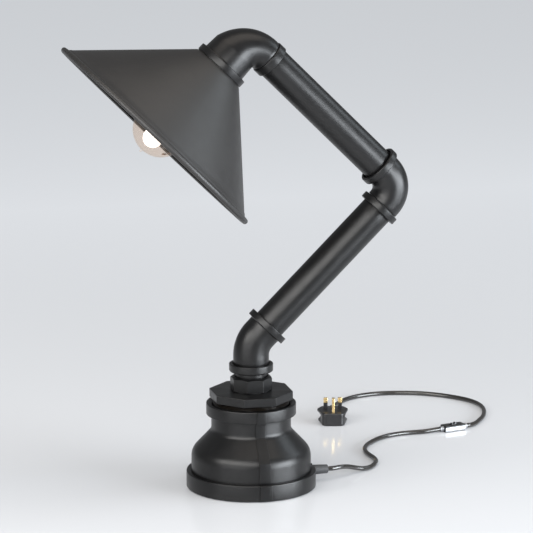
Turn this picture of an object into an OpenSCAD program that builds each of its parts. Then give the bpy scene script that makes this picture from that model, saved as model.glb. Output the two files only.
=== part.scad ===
// Industrial table lamp made of pipe and pipe fittings, with three swivels, a cone shade and a free cord.
// Millimetres. +Z is up, the arms lie in the XZ plane, the rib of the base faces -Y,
// and the origin is the centre of the base where it meets the table.

/* [Base] */
// Outside diameter of the ring round the foot of the base
base_d = 190; // [180:1:200]
// Height of that ring
base_ring_h = 24.2; // [22:0.2:27]
// Wall of that ring
base_ring_wall = 7; // [5:0.5:9]
// Ring's clearance over the table
ring_lift = 1; // [0.5:0.1:1.5]
// Thickness of the foot pad
pad_t = 2.5; // [2:0.1:3]
// Thickness of the closing plate
plate_t = 6; // [5:0.5:8]
// Outside diameter of the counterweight
ballast_d = 130; // [110:1:131]
// Height of the counterweight
ballast_h = 28; // [22:1:28]
// Width of the slot for the lead in the counterweight
ballast_slot_w = 16; // [12:0.5:20]
// Hole through the counterweight
ballast_hole_d = 44; // [36:1:50]

/* [Bell] */
// Wall of the cast bell
shell_wall = 6; // [5:0.5:7]
// Height of the bell's upright side over the table
shell_side_top = 46; // [43:0.5:49]
// Radius of the bell's shoulder
shoulder_r = 24; // [20:0.5:27]
// Slope of the bell's flare from upright, in degrees
flare_angle = 43; // [40:0.5:46]
// Diameter of the bell's neck
neck_d = 116.8; // [114:0.4:120]
// Radius where the flare turns into the neck
neck_fillet = 12; // [8:0.5:15]
// Height of the rim's underside over the table
rim_low = 110; // [104:0.5:116]
// Height of the rim
rim_h = 17.3; // [14:0.1:22]
// Outside diameter of the rim
rim_d = 131.6; // [128:0.4:138]
// Width of the rib at the foot
rib_foot_w = 18.5; // [14:0.5:22]
// Width of the rib at the rim
rib_rim_w = 13.2; // [10:0.2:16]
// How far the rib stands proud
rib_proud = 1.2; // [0.8:0.1:2]

/* [Bushing and lock nut] */
// Octagon of the reducing bushing, across flats
bushing_flats = 114.4; // [108:0.4:120]
// Height of the octagon
bushing_head_h = 12.9; // [10:0.1:16]
// Gap between the rim and the octagon
bushing_gap = 5.3; // [4:0.1:7]
// Thread of the bushing in the rim, outside diameter
bushing_thread_d = 111; // [109:0.5:114]
// Depth of the thread in the rim
bushing_thread_depth = 15; // [11:0.5:16]
// Wall of the bushing's hollow underside
bushing_wall = 8; // [6:0.5:10]
// Octagon lock nut, across flats
nut_flats = 57.3; // [55:0.3:61]
// Height of the lock nut
nut_h = 20.5; // [18:0.5:23]
// Chamfer of the lock nut's upper edge
nut_chamfer = 3.4; // [2:0.2:4]
// Washer under the lock nut
nut_washer_t = 0.6; // [0.5:0.1:1]

/* [Swivels] */
// Neck of the base swivel, outside diameter
socket_neck_d = 46; // [44.6:0.2:47]
// Neck that shows between the lock nut and the swivel's ring
neck_show = 7.1; // [6:0.1:9]
// Ring of the base swivel, outside diameter
socket_ring_d = 64.4; // [62:0.2:68]
// Height of that ring
socket_ring_h = 11.9; // [10:0.1:14]
// Depth of the recess in that ring
socket_recess = 7.6; // [6:0.1:9]
// Gap round the elbow in that recess
recess_gap = 1.1; // [0.6:0.1:1.6]
// Spigot of every swivel, outside diameter
spigot_d = 35.9; // [33:0.1:37]
// Bore of every spigot
spigot_bore_d = 28; // [22:1:29]
// Running clearance of a spigot in its sleeve, on the radius
run_fit = 0.05; // [0.02:0.01:0.08]
// Length of a swivel's sleeve
sleeve_len = 25; // [20:1:30]
// Thickness of a swivel's friction washer
washer_t = 1; // [0.8:0.1:1.4]
// Outside diameter of a swivel's friction washer
washer_d = 48; // [44:0.5:50]
// Thickness of a retaining clip
clip_t = 1.5; // [1.2:0.1:2]
// Outside diameter of a retaining clip
clip_d = 40; // [38.6:0.1:40.6]
// Depth of a clip's groove
clip_groove = 1.2; // [1:0.1:1.5]
// Flat clearance between parts that turn on each other
face_gap = 0.1; // [0.05:0.05:0.2]

/* [Pipe and elbows] */
// Outside diameter of the pipe
pipe_d = 48.3; // [48:0.1:49]
// Wall of the pipe
pipe_wall = 2; // [1.6:0.1:2.2]
// Clearance of the pipe in a fitting, on the radius
seat_fit = 0.05; // [0.02:0.01:0.1]
// Wall of an elbow over the pipe's radius
elbow_wall = 2.05; // [1.5:0.05:3]
// Passage through an elbow, diameter
passage_d = 40; // [36:1:42]
// Lean of the lower arm from upright, in degrees
lean = 45; // [40:1:50]
// Lower elbow, from its corner to its band's end face
lower_elbow_leg = 39.2; // [36:0.2:44]
// Lower elbow, from its corner down to the swivel ring's top
lower_elbow_drop = 29.4; // [26:0.2:34]
// Lower elbow, bend radius of its middle line
lower_elbow_bend = 42; // [36:1:46]
// Lower elbow's band, outside diameter
lower_band_d = 64.8; // [60:0.2:70]
// Lower elbow's band, width
lower_band_w = 9.8; // [8:0.2:12]
// Depth of the lower pipe in its elbow
lower_seat_depth = 17; // [12:0.5:20]
// Length of the lower pipe
lower_pipe_len = 251.9; // [200:0.1:300]
// Ring on the lower pipe's end, outside diameter
lower_collar_d = 61.4; // [58:0.2:66]
// Ring on the lower pipe's end, width
lower_collar_w = 9.9; // [8:0.1:14]
// Middle elbow, from its corner to its swivel face
middle_elbow_face = 37.3; // [35:0.1:42]
// Middle elbow, bend radius of its middle line
middle_elbow_bend = 33.5; // [31:0.5:34.5]
// Middle elbow, from its corner to its band's end face
middle_elbow_leg = 49; // [46:0.5:54]
// Middle elbow's band, outside diameter
middle_band_d = 62; // [60:0.2:68]
// Middle elbow's band, width
middle_band_w = 11; // [9:0.2:13]
// Gap round the pipe in the mouth of that band
mouth_gap = 3; // [2:0.1:3.5]
// Depth of that gap
mouth_depth = 5; // [3:0.5:7]
// Length of the upper pipe
upper_pipe_len = 245.5; // [200:0.1:300]
// Ring on the upper pipe's end, outside diameter
upper_collar_d = 54; // [52:0.2:60]
// Ring on the upper pipe's end, width
upper_collar_w = 12.5; // [9:0.1:14]
// Metal of a ring beyond the pipe's end
collar_cap = 3; // [2:0.1:4]

/* [Head] */
// Head elbow, from its corner to its swivel face
head_elbow_face = 39; // [37.5:0.1:44]
// Head elbow, outside radius at the arm
head_small_r = 25.7; // [25:0.1:26.5]
// Head elbow, outside radius where its bend ends
head_bend_r = 34; // [33:0.1:36]
// Head elbow, outside radius at its band
head_big_r = 35.3; // [34.5:0.1:37]
// Head elbow, radius inside its corner
head_corner_r = 1.5; // [1:0.1:3]
// Wall of the head elbow
head_wall = 4; // [3:0.5:5]
// Head elbow, from its corner to its lower end face
head_elbow_leg = 59.5; // [56:0.5:64]
// Band of the head elbow, outside diameter
head_band_d = 81.6; // [78:0.2:88]
// Band of the head elbow, width
head_band_w = 10.4; // [8:0.2:13]
// Web that carries the threaded tube, thickness
web_t = 4; // [3:0.5:5]
// Web's distance inside the lower end face
web_inset = 6.5; // [5:0.5:9]

/* [Shade] */
// Seam between the head elbow and the shade
seam_h = 0.6; // [0.4:0.1:1.5]
// Radius of the shade's top plate
shade_top_r = 40.1; // [38:0.1:44]
// Step in of the seam
seam_step = 1.6; // [1:0.1:2]
// Height of the cone from its top to the rim's bead
shade_cone_h = 133.6; // [110:1:150]
// Half angle of the cone, in degrees
shade_angle = 45.9; // [42:0.1:48]
// Thickness of the sheet
shade_t = 1; // [0.8:0.1:1.6]
// Radius of the rolled bead
bead_r = 4.3; // [3.5:0.1:5]
// Thickness of the sheet in the bead
bead_t = 1.1; // [0.8:0.1:1.6]

/* [Lampholder] */
// Threaded tube, outside diameter
tube_d = 10; // [9.5:0.1:10.5]
// Threaded tube, bore
tube_bore_d = 6.6; // [6.2:0.1:7]
// Lock nut of the threaded tube, across flats
tube_nut_flats = 14; // [13:0.5:17]
// Lock nut of the threaded tube, height
tube_nut_h = 4; // [3:0.5:5]
// Clamp washer under the shade's top plate, diameter
clamp_d = 34; // [30:1:38]
// Clamp washer, thickness
clamp_t = 1.5; // [1:0.1:2]
// Lampholder, outside diameter
holder_d = 39; // [38.4:0.2:42]
// Lampholder cap, height
holder_cap_h = 18; // [16:0.5:20]
// Lampholder body, height
holder_body_h = 40; // [37:0.5:42]
// Wall of the lampholder
holder_wall = 2.3; // [2:0.1:2.6]
// Ceramic insert, height
insert_h = 12; // [10:0.5:13]
// Shade ring on the lampholder, height
holder_ring_h = 8; // [6:0.5:10]
// Screw shell, bore
screw_shell_bore = 27.2; // [27:0.1:27.6]
// Screw shell, wall
screw_shell_t = 0.5; // [0.4:0.1:0.7]

/* [Bulb] */
// Diameter of the globe
globe_d = 82; // [76:1:86]
// From the lampholder insert to the globe's middle
globe_drop = 87.5; // [84:0.5:92]
// Thickness of the glass
glass_t = 1; // [0.8:0.1:1.3]
// Bulb cap, outside diameter
cap_d = 26.4; // [26:0.1:26.7]
// Bulb cap, height
cap_h = 26; // [24:0.5:27]
// Radius of the glass where the neck meets the globe
glass_fillet = 18; // [14:1:22]

/* [Cord] */
// Diameter of the cord
cord_d = 7; // [6.4:0.1:7.2]
// Diameter of the flex inside the arms
flex_d = 5.6; // [4.8:0.1:6]
// Height of the cord's outlet over the table
outlet_z = 17.6; // [17.2:0.1:20]
// Strain relief, diameter at the base
boot_d = 15.8; // [14:0.2:16.4]
// Strain relief, diameter at its tip
boot_tip_d = 13; // [10.6:0.2:13.4]
// Strain relief, length
boot_len = 36.5; // [30:0.5:40]
// Strain relief's start inside the base, from the middle
boot_start = 79.5; // [78:0.5:82]

/* [In-line switch] */
// Length of the switch
switch_len = 36; // [32:0.5:42]
// Width of the switch
switch_w = 17.4; // [15:0.2:20]
// Height of the switch
switch_h = 10; // [9.6:0.1:12]
// Thickness of a side trim
trim_t = 1.2; // [0.8:0.1:1.5]
// Length of a ferrule
ferrule_len = 5.5; // [4:0.5:7]
// Travel of the slider to each side
slider_travel = 2; // [1:0.5:2.5]
// Turn of the switch from +X, in degrees
switch_turn = 14.4; // [8:0.2:20]
// Height of the slider's two grips over the cover
grip_h = 3; // [1.5:0.1:3.4]

/* [Plug] */
// Spacing of the pins, live to neutral and live to earth
pin_pitch = 22.2; // [21.5:0.1:23]
// Height of the plug
plug_h = 20.5; // [19:0.5:23]
// Width of the pin plate
plate_w = 48; // [46:0.5:51]
// Width of the waist
waist_w = 37; // [34:0.5:40]
// From the line of the live and neutral pins to the plug's back edge
plug_back = 18.4; // [10:0.2:20]
// Diameter of the plug's screw
plug_screw_d = 3.4; // [2.6:0.2:3.6]
// Turn of the plug, in degrees
plug_turn = -12; // [-20:1:0]

/* [Hidden] */
$fn = 96;

eps = 0.01;
fit_gap = 0.3;
fit_edge = 0.05;
foot_floor = 3;
screw_d = 5;
screw_head_d = 9;
screw_head_h = 3;
black = [0.13, 0.13, 0.14];

// heights of the base, from the table up
plate_low = pad_t;
plate_top = plate_low + plate_t;
ring_top = ring_lift + base_ring_h;
shell_r = base_d / 2 - base_ring_wall - fit_gap;
ballast_top = plate_top + ballast_h;
neck_r = neck_d / 2;
shoulder_x = shell_r - shoulder_r;
shoulder_end = [shoulder_x + shoulder_r * cos(flare_angle), shell_side_top + shoulder_r * sin(flare_angle)];
fillet_start_r = neck_r + neck_fillet * (1 - cos(flare_angle));
neck_low = shoulder_end[1] + (shoulder_end[0] - fillet_start_r) / tan(flare_angle)
           + neck_fillet * sin(flare_angle);
// height at which the rib's sloping face is at radius r
function rib_slope_z(r) = shoulder_end[1] + rib_proud * sin(flare_angle)
                          - (r - shoulder_end[0] - rib_proud * cos(flare_angle)) / tan(flare_angle);
rim_top = rim_low + rim_h;
thread_bottom = rim_top - bushing_thread_depth;
head_low = rim_top + bushing_gap;
head_top = head_low + bushing_head_h;
nut_low = head_top + nut_washer_t;
nut_top = nut_low + nut_h;
socket_ring_low = nut_top + neck_show;
socket_ring_top = socket_ring_low + socket_ring_h;
socket_floor = socket_ring_top - socket_recess;
socket_bottom = thread_bottom + 2;
elbow_z = socket_ring_top + lower_elbow_drop;

// swivels: the sleeve's upper face is z = 0 of each swivel's own frame
sleeve_bore = spigot_d + 2 * run_fit;
clip_top = -sleeve_len - face_gap;
spigot_end = clip_top - clip_t - 3;
flex_plane = spigot_end - 3;
face_z = washer_t + face_gap;

// the arms, measured along their own middle lines
pipe_r = pipe_d / 2;
seat_r = pipe_r + seat_fit;
sleeve_r = pipe_r - pipe_wall - seat_fit;
elbow_r = pipe_r + elbow_wall;
lower_seat = lower_elbow_leg - lower_seat_depth;
lower_pipe_end = lower_seat + lower_pipe_len;
lower_face = lower_pipe_end + collar_cap;
lower_len = lower_face + face_z + middle_elbow_face;
upper_seat = middle_elbow_bend + 0.5;
upper_pipe_end = upper_seat + upper_pipe_len;
upper_face = upper_pipe_end + collar_cap;
upper_len = upper_face + face_z + head_elbow_face;
turn_tangent = tan(lean / 2);

// the head, measured down the shade's own middle line from the head elbow's corner
bend_out = head_small_r + head_corner_r;
bend_side = head_bend_r + head_corner_r;
web_low = head_elbow_leg - web_inset;
shade_top = head_elbow_leg + seam_h;
cone_slope = tan(shade_angle);
bead_s = shade_top + shade_cone_h;
bead_ring_r = shade_top_r + shade_cone_h * cone_slope;
clamp_top = shade_top + shade_t;
holder_top = clamp_top + clamp_t;
holder_mid = holder_top + holder_cap_h;
holder_end = holder_mid + holder_body_h;
insert_end = holder_mid + insert_h;
tip_s = insert_end + 3;
cap_end = tip_s + 3 + cap_h;
globe_s = insert_end + globe_drop;
globe_r = globe_d / 2;
tube_top = web_low - web_t - tube_nut_h - 1;
tube_end = holder_top + 8;

earth_points = [[-15.4, 33, 42], [-19, 33, 42], [-26, 24, 42], [-30, 6, 41.5], [-27, -14, 40.5],
                [-20, -31, 39], [-9, -38, 38.5]];
switch_axis_z = 5;
switch_pos = [375.4, 227.1, 0];
plug_pos = [206, 313, 0];
cord_port_z = 10;
function switch_point(x) = switch_pos + [cos(switch_turn) * x, sin(switch_turn) * x, switch_axis_z];
function plug_point(y) = plug_pos + [-sin(plug_turn) * y, cos(plug_turn) * y, cord_port_z];

// cord: points chosen along its middle line, first from the base to the switch, then on to the plug
boot_tip = boot_start + boot_len;
near_points = [[boot_tip - 0.9, 0, outlet_z], [119, 0, outlet_z], [123.5, 0, outlet_z], [130, 2.5, 17.4],
               [139.5, 8, 16.6], [152, 17, 13.6],
               [165.5, 25, 9], [179, 32, 5], [193, 42.5, 3.6], [203.5, 57, 3.6], [210, 73, 3.6],
               [211.5, 89, 3.6], [209.5, 106, 3.6], [208.5, 124, 3.6], [211.5, 143, 3.6], [219, 161, 3.6],
               [231, 178, 3.6], [245.5, 193.5, 3.6], [261, 205, 3.6], [277, 212.5, 3.6], [294, 216.5, 3.6],
               [311, 217.5, 3.6], [328, 217.5, 4], switch_point(-32), switch_point(-24), switch_point(-18.2)];
far_points = [switch_point(18.2), switch_point(24), switch_point(28.5), [411, 240.5, 4], [419.5, 250, 3.6], [428.5, 263.5, 3.6],
              [438.5, 280, 3.6], [447.5, 301, 3.6], [454, 325, 3.6], [456, 348, 3.6], [452.5, 371, 3.6],
              [442.5, 392.5, 3.6], [426.5, 412.5, 3.6], [405, 432, 3.6], [379.5, 447, 3.6], [352.5, 455.5, 3.6],
              [328, 459, 3.6], [304, 457.5, 3.6], [282, 450.5, 3.6], [263, 439, 3.6], [247.5, 424, 3.6],
              [235.5, 406, 4.2], [226, 387, 6.5], plug_point(58), plug_point(47), plug_point(37.5),
              plug_point(23), plug_point(8.6)];
lead_points = [[boot_start, 0, outlet_z], [74, 0, outlet_z], [68, 0, outlet_z], [61, 0, outlet_z + 2.5],
               [57, 0.5, 28], [54, 3, 36], [49, 10, 43], [42, 20, 45], [34, 30, 44.5], [25, 37, 44],
               [20, 38, 44], [15.4, 38, 44]];
riser_points = [[-15.4, 38, 44], [-20, 38, 44], [-27, 34, 47], [-29, 24, 56], [-22, 12, 70], [-10, 4, 87],
                [0, 0, 106], [0, 0, 120], [0, 0, 142]];

ferrule_r = cord_d / 2 + 0.8;
cord_spout_r = cord_d / 2 + 1.9;
boss_x = shell_r - shell_wall - 7;
boss_h = 24;
boss_hole = boss_h - 6;
tall = rim_top + 300;

// ---------- helpers ----------

function arc(cx, cy, r, a0, a1, n = 12) = [for (i = [0:n]) [cx + r * cos(a0 + (a1 - a0) * i / n),
                                                           cy + r * sin(a0 + (a1 - a0) * i / n)]];

// a point on the smooth curve through four neighbouring points
function blend_point(a, b, c, d, t) = 0.5 * (2 * b + (c - a) * t + (2 * a - 5 * b + 4 * c - d) * t * t
                                             + (3 * b - a - 3 * c + d) * t * t * t);
function smooth(p, k = 2) = [for (i = [0:len(p) - 2], j = [0:k - 1])
    blend_point(p[max(i - 1, 0)], p[i], p[i + 1], p[min(i + 2, len(p) - 1)], j / k), p[len(p) - 1]];
function unit(v) = v / norm(v);
function heading(p, i) = unit(p[min(i + 1, len(p) - 1)] - p[max(i - 1, 0)]);
function side_of(h) = unit(cross(h, abs(h[2]) > 0.9 ? [0, 1, 0] : [0, 0, 1]));

// a round tube along a list of points, closed at both ends
module swept_tube(p, r, sides = 10) {
    rings = len(p);
    points = [for (i = [0:rings - 1]) let (h = heading(p, i), u = side_of(h), v = cross(h, u))
        for (j = [0:sides - 1]) p[i] + r * cos(360 * j / sides) * u + r * sin(360 * j / sides) * v];
    walls = [for (i = [0:rings - 2], j = [0:sides - 1]) let (k = (j + 1) % sides)
        [i * sides + j, (i + 1) * sides + j, (i + 1) * sides + k, i * sides + k]];
    ends = [[for (j = [0:sides - 1]) j], [for (j = [sides - 1:-1:0]) (rings - 1) * sides + j]];
    polyhedron(points = points, faces = concat(walls, ends), convexity = 6);
}

// a torus arc that starts at the origin, heads up +Z and turns towards +X
module bend(bend_r, r, a, inner = 0) {
    translate([bend_r, 0, 0]) rotate([90, 0, 0]) rotate([0, 0, 180 - a])
        rotate_extrude(angle = a) translate([bend_r, 0]) difference() {
            circle(r = r);
            if (inner > 0) circle(r = inner);
        }
}

module octagon(flats, h) {
    rotate([0, 0, 22.5]) cylinder(r = flats / 2 / cos(22.5), h = h, $fn = 8);
}

module ring(outer, inner, h) {
    difference() {
        cylinder(r = outer, h = h);
        translate([0, 0, -1]) cylinder(r = inner, h = h + 2);
    }
}

// a ring with rounded edges, its profile turned about Z
module rounded_band(outer, inner, h, r_low, r_top) {
    rotate_extrude() polygon(concat([[inner, 0]], arc(outer - r_low, r_low, r_low, -90, 0, 6),
                                    arc(outer - r_top, h - r_top, r_top, 0, 90, 6), [[inner, h]]));
}

module lower_frame() { translate([0, 0, elbow_z]) rotate([0, lean, 0]) children(); }
module upper_frame() { lower_frame() translate([0, 0, lower_len]) rotate([0, -90, 0]) children(); }
module head_frame() { upper_frame() translate([0, 0, upper_len]) rotate([0, -90, 0]) children(); }
module switch_frame() { translate(switch_pos) rotate([0, 0, switch_turn]) children(); }
module plug_frame() { translate(plug_pos) rotate([0, 0, plug_turn]) children(); }

// foot of an elbow: its spigot runs down through the sleeve, with a groove for the clip; the elbow's
// own face stands on the friction washer
module elbow_foot(outer, top) {
    bore = spigot_bore_d / 2;
    r = spigot_d / 2;
    groove_low = clip_top - clip_t - fit_gap;
    rotate_extrude() polygon([[bore, spigot_end], [r, spigot_end], [r, groove_low], [r - clip_groove, groove_low],
        [r - clip_groove, clip_top], [r, clip_top], [r, face_z], [outer, face_z], [outer, top],
        [passage_d / 2, top], [passage_d / 2, face_z + foot_floor], [bore, face_z + foot_floor]]);
}

// mouth of an elbow: a straight end from z = low with a band and a seat for the pipe
module elbow_mouth(low, leg, band_r, band_w, seat, r_low, r_top, mouth_r, mouth) {
    rotate_extrude() polygon(concat([[passage_d / 2, low], [elbow_r, low], [elbow_r, leg - band_w]],
        arc(band_r - r_low, leg - band_w + r_low, r_low, -90, 0, 6), arc(band_r - r_top, leg - r_top, r_top, 0, 90, 6),
        [[mouth_r, leg], [mouth_r, leg - mouth], [seat_r, leg - mouth], [seat_r, seat], [passage_d / 2, seat]]));
}

// friction washer between the sleeve's face and the elbow's face
module friction_washer() { color([0.08, 0.08, 0.08]) ring(washer_d / 2, sleeve_bore / 2 + 0.1, washer_t); }

// open spring clip that keeps a spigot in its sleeve
module clip() {
    color([0.55, 0.55, 0.55]) translate([0, 0, clip_top - clip_t]) rotate([0, 0, 20])
        rotate_extrude(angle = 320) translate([spigot_d / 2 - clip_groove + 0.1, 0])
            square([clip_d / 2 - spigot_d / 2 + clip_groove - 0.1, clip_t]);
}

// ring with a sleeve that plugs into the pipe's end; its face is z = 0
module collar(d, w) {
    difference() {
        union() {
            translate([0, 0, -w]) rounded_band(d / 2, sleeve_r - 1, w, 0.6, 1);
            translate([0, 0, -sleeve_len]) cylinder(r = sleeve_r, h = sleeve_len - 0.5);
        }
        translate([0, 0, -w - 1]) ring(seat_r, sleeve_r, w + 1 - collar_cap);
        translate([0, 0, -sleeve_len - 1]) cylinder(r = sleeve_bore / 2, h = sleeve_len + 2);
    }
}

module pipe(from, len) {
    color(black) translate([0, 0, from]) difference() {
        cylinder(r = pipe_r, h = len);
        translate([0, 0, -1]) cylinder(r = pipe_r - pipe_wall, h = len + 2);
    }
}

// ---------- base ----------

// bell profile, from its foot up to its rim; inset moves it inwards for the hollow
function bell_side(inset) = concat(
    arc(shoulder_x, shell_side_top, shoulder_r - inset, 0, flare_angle, 8),
    arc(neck_r + neck_fillet, neck_low, neck_fillet + inset, 180 + flare_angle, 180, 6));

// flat-faced rib: a profile of [radius, height] at the front, cut to the rib's tapering width
module rib(profile) {
    intersection() {
        rotate([90, 0, -90]) translate([0, 0, -rib_foot_w]) linear_extrude(2 * rib_foot_w) polygon(profile);
        rotate([90, 0, 0]) linear_extrude(base_d) polygon([[-rib_foot_w / 2, 0], [rib_foot_w / 2, 0],
            [rib_rim_w / 2, rim_top], [-rib_rim_w / 2, rim_top]]);
    }
}

module base_shell() {
    side = shell_r + rib_proud;
    neck = neck_r + rib_proud;
    lip = rim_d / 2 + rib_proud;
    inside = neck_r - 1;
    color(black) difference() {
        union() {
            difference() {
                union() {
                    rotate_extrude() polygon(concat([[0, plate_top], [shell_r, plate_top]], bell_side(0),
                        [[neck_r, rim_low], [rim_d / 2, rim_low], [rim_d / 2, rim_top], [0, rim_top]]));
                    rib([[inside, ring_top + face_gap], [side, ring_top + face_gap], [side, rib_slope_z(side)],
                         [neck, rib_slope_z(neck)], [neck, rim_low - rib_proud], [lip, rim_low - rib_proud],
                         [lip, rim_top], [inside, rim_top]]);
                }
                translate([0, 0, -eps]) rotate_extrude() polygon(concat(
                    [[0, plate_top - 1], [shell_r - shell_wall, plate_top - 1]], bell_side(shell_wall),
                    [[neck_r - shell_wall, thread_bottom], [0, thread_bottom]]));
            }
            for (a = [45:90:315]) rotate([0, 0, a]) translate([boss_x, 0, plate_top])
                cylinder(r = screw_d + 3, h = boss_h);
        }
        translate([0, 0, thread_bottom]) cylinder(r = bushing_thread_d / 2 + seat_fit, h = rim_h + 20);
        translate([0, 0, rim_top - 2.5]) cylinder(r1 = bushing_thread_d / 2 + seat_fit,
                                                 r2 = bushing_thread_d / 2 + 4, h = 2.5 + eps);
        for (a = [45:90:315]) rotate([0, 0, a]) translate([boss_x, 0, plate_top - 1])
            cylinder(r = screw_d / 2 + seat_fit, h = boss_hole + 1);
        translate([shell_r - shell_wall - 12, 0, outlet_z]) rotate([0, 90, 0])
            cylinder(r = boot_d / 2 + fit_gap, h = 40);
    }
}

module base_ring() {
    color(black) difference() {
        union() {
            translate([0, 0, ring_lift]) rounded_band(base_d / 2, shell_r - 3, base_ring_h, 1, 1);
            rib([[shell_r, ring_lift], [base_d / 2 + rib_proud, ring_lift], [base_d / 2 + rib_proud, ring_top],
                 [shell_r, ring_top]]);
        }
        translate([0, 0, plate_low]) cylinder(r = shell_r + fit_gap, h = base_ring_h + 5);
        translate([0, 0, -1]) cylinder(r = shell_r - 1.5, h = 8);
        translate([shell_r - 12, 0, outlet_z]) rotate([0, 90, 0]) cylinder(r = boot_d / 2 + fit_gap, h = 40);
        translate([shell_r - 12, -boot_d / 2 - fit_gap, outlet_z]) cube([40, boot_d + 2 * fit_gap, 20]);
    }
}

module base_plate() {
    color([0.3, 0.3, 0.32]) difference() {
        translate([0, 0, plate_low]) cylinder(r = shell_r + fit_gap - seat_fit, h = plate_t);
        for (a = [45:90:315]) rotate([0, 0, a]) translate([boss_x, 0, 0]) {
            cylinder(r = screw_d / 2 + fit_gap, h = plate_top + 1);
            translate([0, 0, plate_low - 1]) cylinder(r = screw_head_d / 2 + fit_gap, h = screw_head_h + 1);
        }
    }
}

module foot_pad() {
    color([0.05, 0.05, 0.05]) cylinder(r = shell_r - 2, h = pad_t);
}

module ballast() {
    color([0.2, 0.2, 0.2]) translate([0, 0, plate_top]) difference() {
        ring(ballast_d / 2, ballast_hole_d / 2, ballast_h);
        translate([ballast_d / 2 - 18, -ballast_slot_w / 2, -1]) cube([ballast_d, ballast_slot_w, ballast_h + 2]);
    }
}

module base_screws() {
    color([0.6, 0.6, 0.6]) for (a = [45:90:315]) rotate([0, 0, a])
        translate([boss_x, 0, plate_low]) {
            cylinder(r = screw_d / 2, h = plate_t + boss_hole - 4);
            cylinder(r = screw_head_d / 2, h = screw_head_h);
        }
}

module bushing() {
    thread_r = bushing_thread_d / 2;
    color(black) difference() {
        union() {
            intersection() {
                translate([0, 0, head_low]) octagon(bushing_flats, bushing_head_h);
                translate([0, 0, head_low]) rounded_band(bushing_flats / 2 / cos(22.5) - 0.4, 0,
                                                         bushing_head_h, 1.2, 1.2);
            }
            translate([0, 0, thread_bottom]) cylinder(r = thread_r, h = head_low - thread_bottom + 1);
        }
        for (i = [0:3]) translate([0, 0, rim_top + 0.6 + i * 1.2]) ring(thread_r + 1, thread_r - 0.5, 0.6);
        translate([0, 0, thread_bottom - 1]) cylinder(r = thread_r - bushing_wall,
                                                      h = head_low - thread_bottom - 3);
        cylinder(r = socket_neck_d / 2 + seat_fit, h = tall);
    }
}

module nut_washer() {
    color([0.05, 0.05, 0.05]) translate([0, 0, head_top])
        ring(nut_flats / 2 - 1.5, socket_neck_d / 2 + seat_fit, nut_washer_t);
}

module lock_nut() {
    nut_r = nut_flats / 2 / cos(22.5);
    color(black) difference() {
        intersection() {
            translate([0, 0, nut_low]) octagon(nut_flats, nut_h);
            translate([0, 0, nut_low]) rotate_extrude() polygon([[0, 0], [nut_r + 1, 0],
                [nut_r + 1, nut_h - nut_chamfer], [nut_r + 1 - 1.6 * nut_chamfer, nut_h], [0, nut_h]]);
        }
        cylinder(r = socket_neck_d / 2 + seat_fit, h = tall);
        translate([0, 0, nut_top - 5]) cylinder(r = socket_neck_d / 2 + 1.4, h = 10);
    }
}

module swivel_socket() {
    neck = socket_neck_d / 2;
    color(black) difference() {
        union() {
            translate([0, 0, socket_bottom]) cylinder(r = neck, h = socket_ring_low - socket_bottom + 1);
            translate([0, 0, socket_ring_low]) rounded_band(socket_ring_d / 2, neck - 2, socket_ring_h, 4, 2.2);
        }
        translate([0, 0, socket_floor]) cylinder(r = elbow_r + recess_gap, h = socket_recess + 1);
        cylinder(r = sleeve_bore / 2, h = tall);
        translate([0, 0, socket_bottom - 1])
            cylinder(r = clip_d / 2 + 0.6, h = socket_floor - sleeve_len - socket_bottom + 1);
    }
}

module terminal_block() {
    color([0.9, 0.9, 0.86]) translate([0, 38, ballast_top]) difference() {
        translate([-15, -8, 0]) cube([30, 16, 15]);
        for (y = [-5, 0, 5], x = [-8, 8]) translate([x, y, 6]) cylinder(r = 1.6, h = 10);
    }
}

module terminal_screws() {
    color([0.8, 0.65, 0.3]) for (y = [-5, 0, 5], x = [-8, 8]) translate([x, 38 + y, ballast_top + 6])
        cylinder(r = 1.5, h = 7);
}

module earth_tag() {
    color([0.75, 0.75, 0.7]) translate([0, -38, ballast_top]) difference() {
        union() {
            cylinder(r = 5, h = 1);
            translate([-14, -3, 0]) cube([14, 6, 1]);
            translate([0, 0, 1]) cylinder(r = 3.5, h = 3);
        }
        translate([0, 0, 4]) cube([8, 1, 2], center = true);
    }
    color([0.3, 0.6, 0.2]) swept_tube(smooth(earth_points), 1.2, 6);
}

module cord_anchor() {
    color([0.15, 0.15, 0.15]) difference() {
        translate([shell_r - 20, -8, plate_top]) cube([8, 16, outlet_z - plate_top + 8]);
        translate([shell_r - 21, 0, outlet_z]) rotate([0, 90, 0]) cylinder(r = cord_d / 2 + 0.1, h = 20);
    }
}

module inner_lead() { color([0.06, 0.06, 0.06]) swept_tube(smooth(lead_points), cord_d / 2 - 0.3, 8); }
module riser_flex() { color([0.2, 0.2, 0.2]) swept_tube(smooth(riser_points), flex_d / 2, 8); }

// ---------- cord, strain relief, switch, plug ----------

module cord_boot() {
    color(black) translate([boot_start, 0, outlet_z]) rotate([0, 90, 0]) difference() {
        union() {
            cylinder(r1 = boot_d / 2, r2 = boot_tip_d / 2, h = boot_len);
            cylinder(r = outlet_z - plate_top - 0.2, h = 1.4);
        }
        translate([0, 0, boot_len - 1]) cylinder(r = cord_d / 2 + 0.3, h = 2);
    }
}

module cord_near() { color([0.05, 0.05, 0.05]) swept_tube(smooth(near_points), cord_d / 2); }
module cord_far() { color([0.05, 0.05, 0.05]) swept_tube(smooth(far_points), cord_d / 2); }

module switch_body() {
    inner_w = switch_w - 2 * trim_t;
    color(black) switch_frame() difference() {
        translate([-switch_len / 2, -inner_w / 2, 0]) cube([switch_len, inner_w, switch_h - 2.2]);
        translate([-switch_len / 2 + 5, -inner_w / 2 + 2, 2]) cube([switch_len - 10, inner_w - 4, switch_h]);
    }
}

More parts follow.
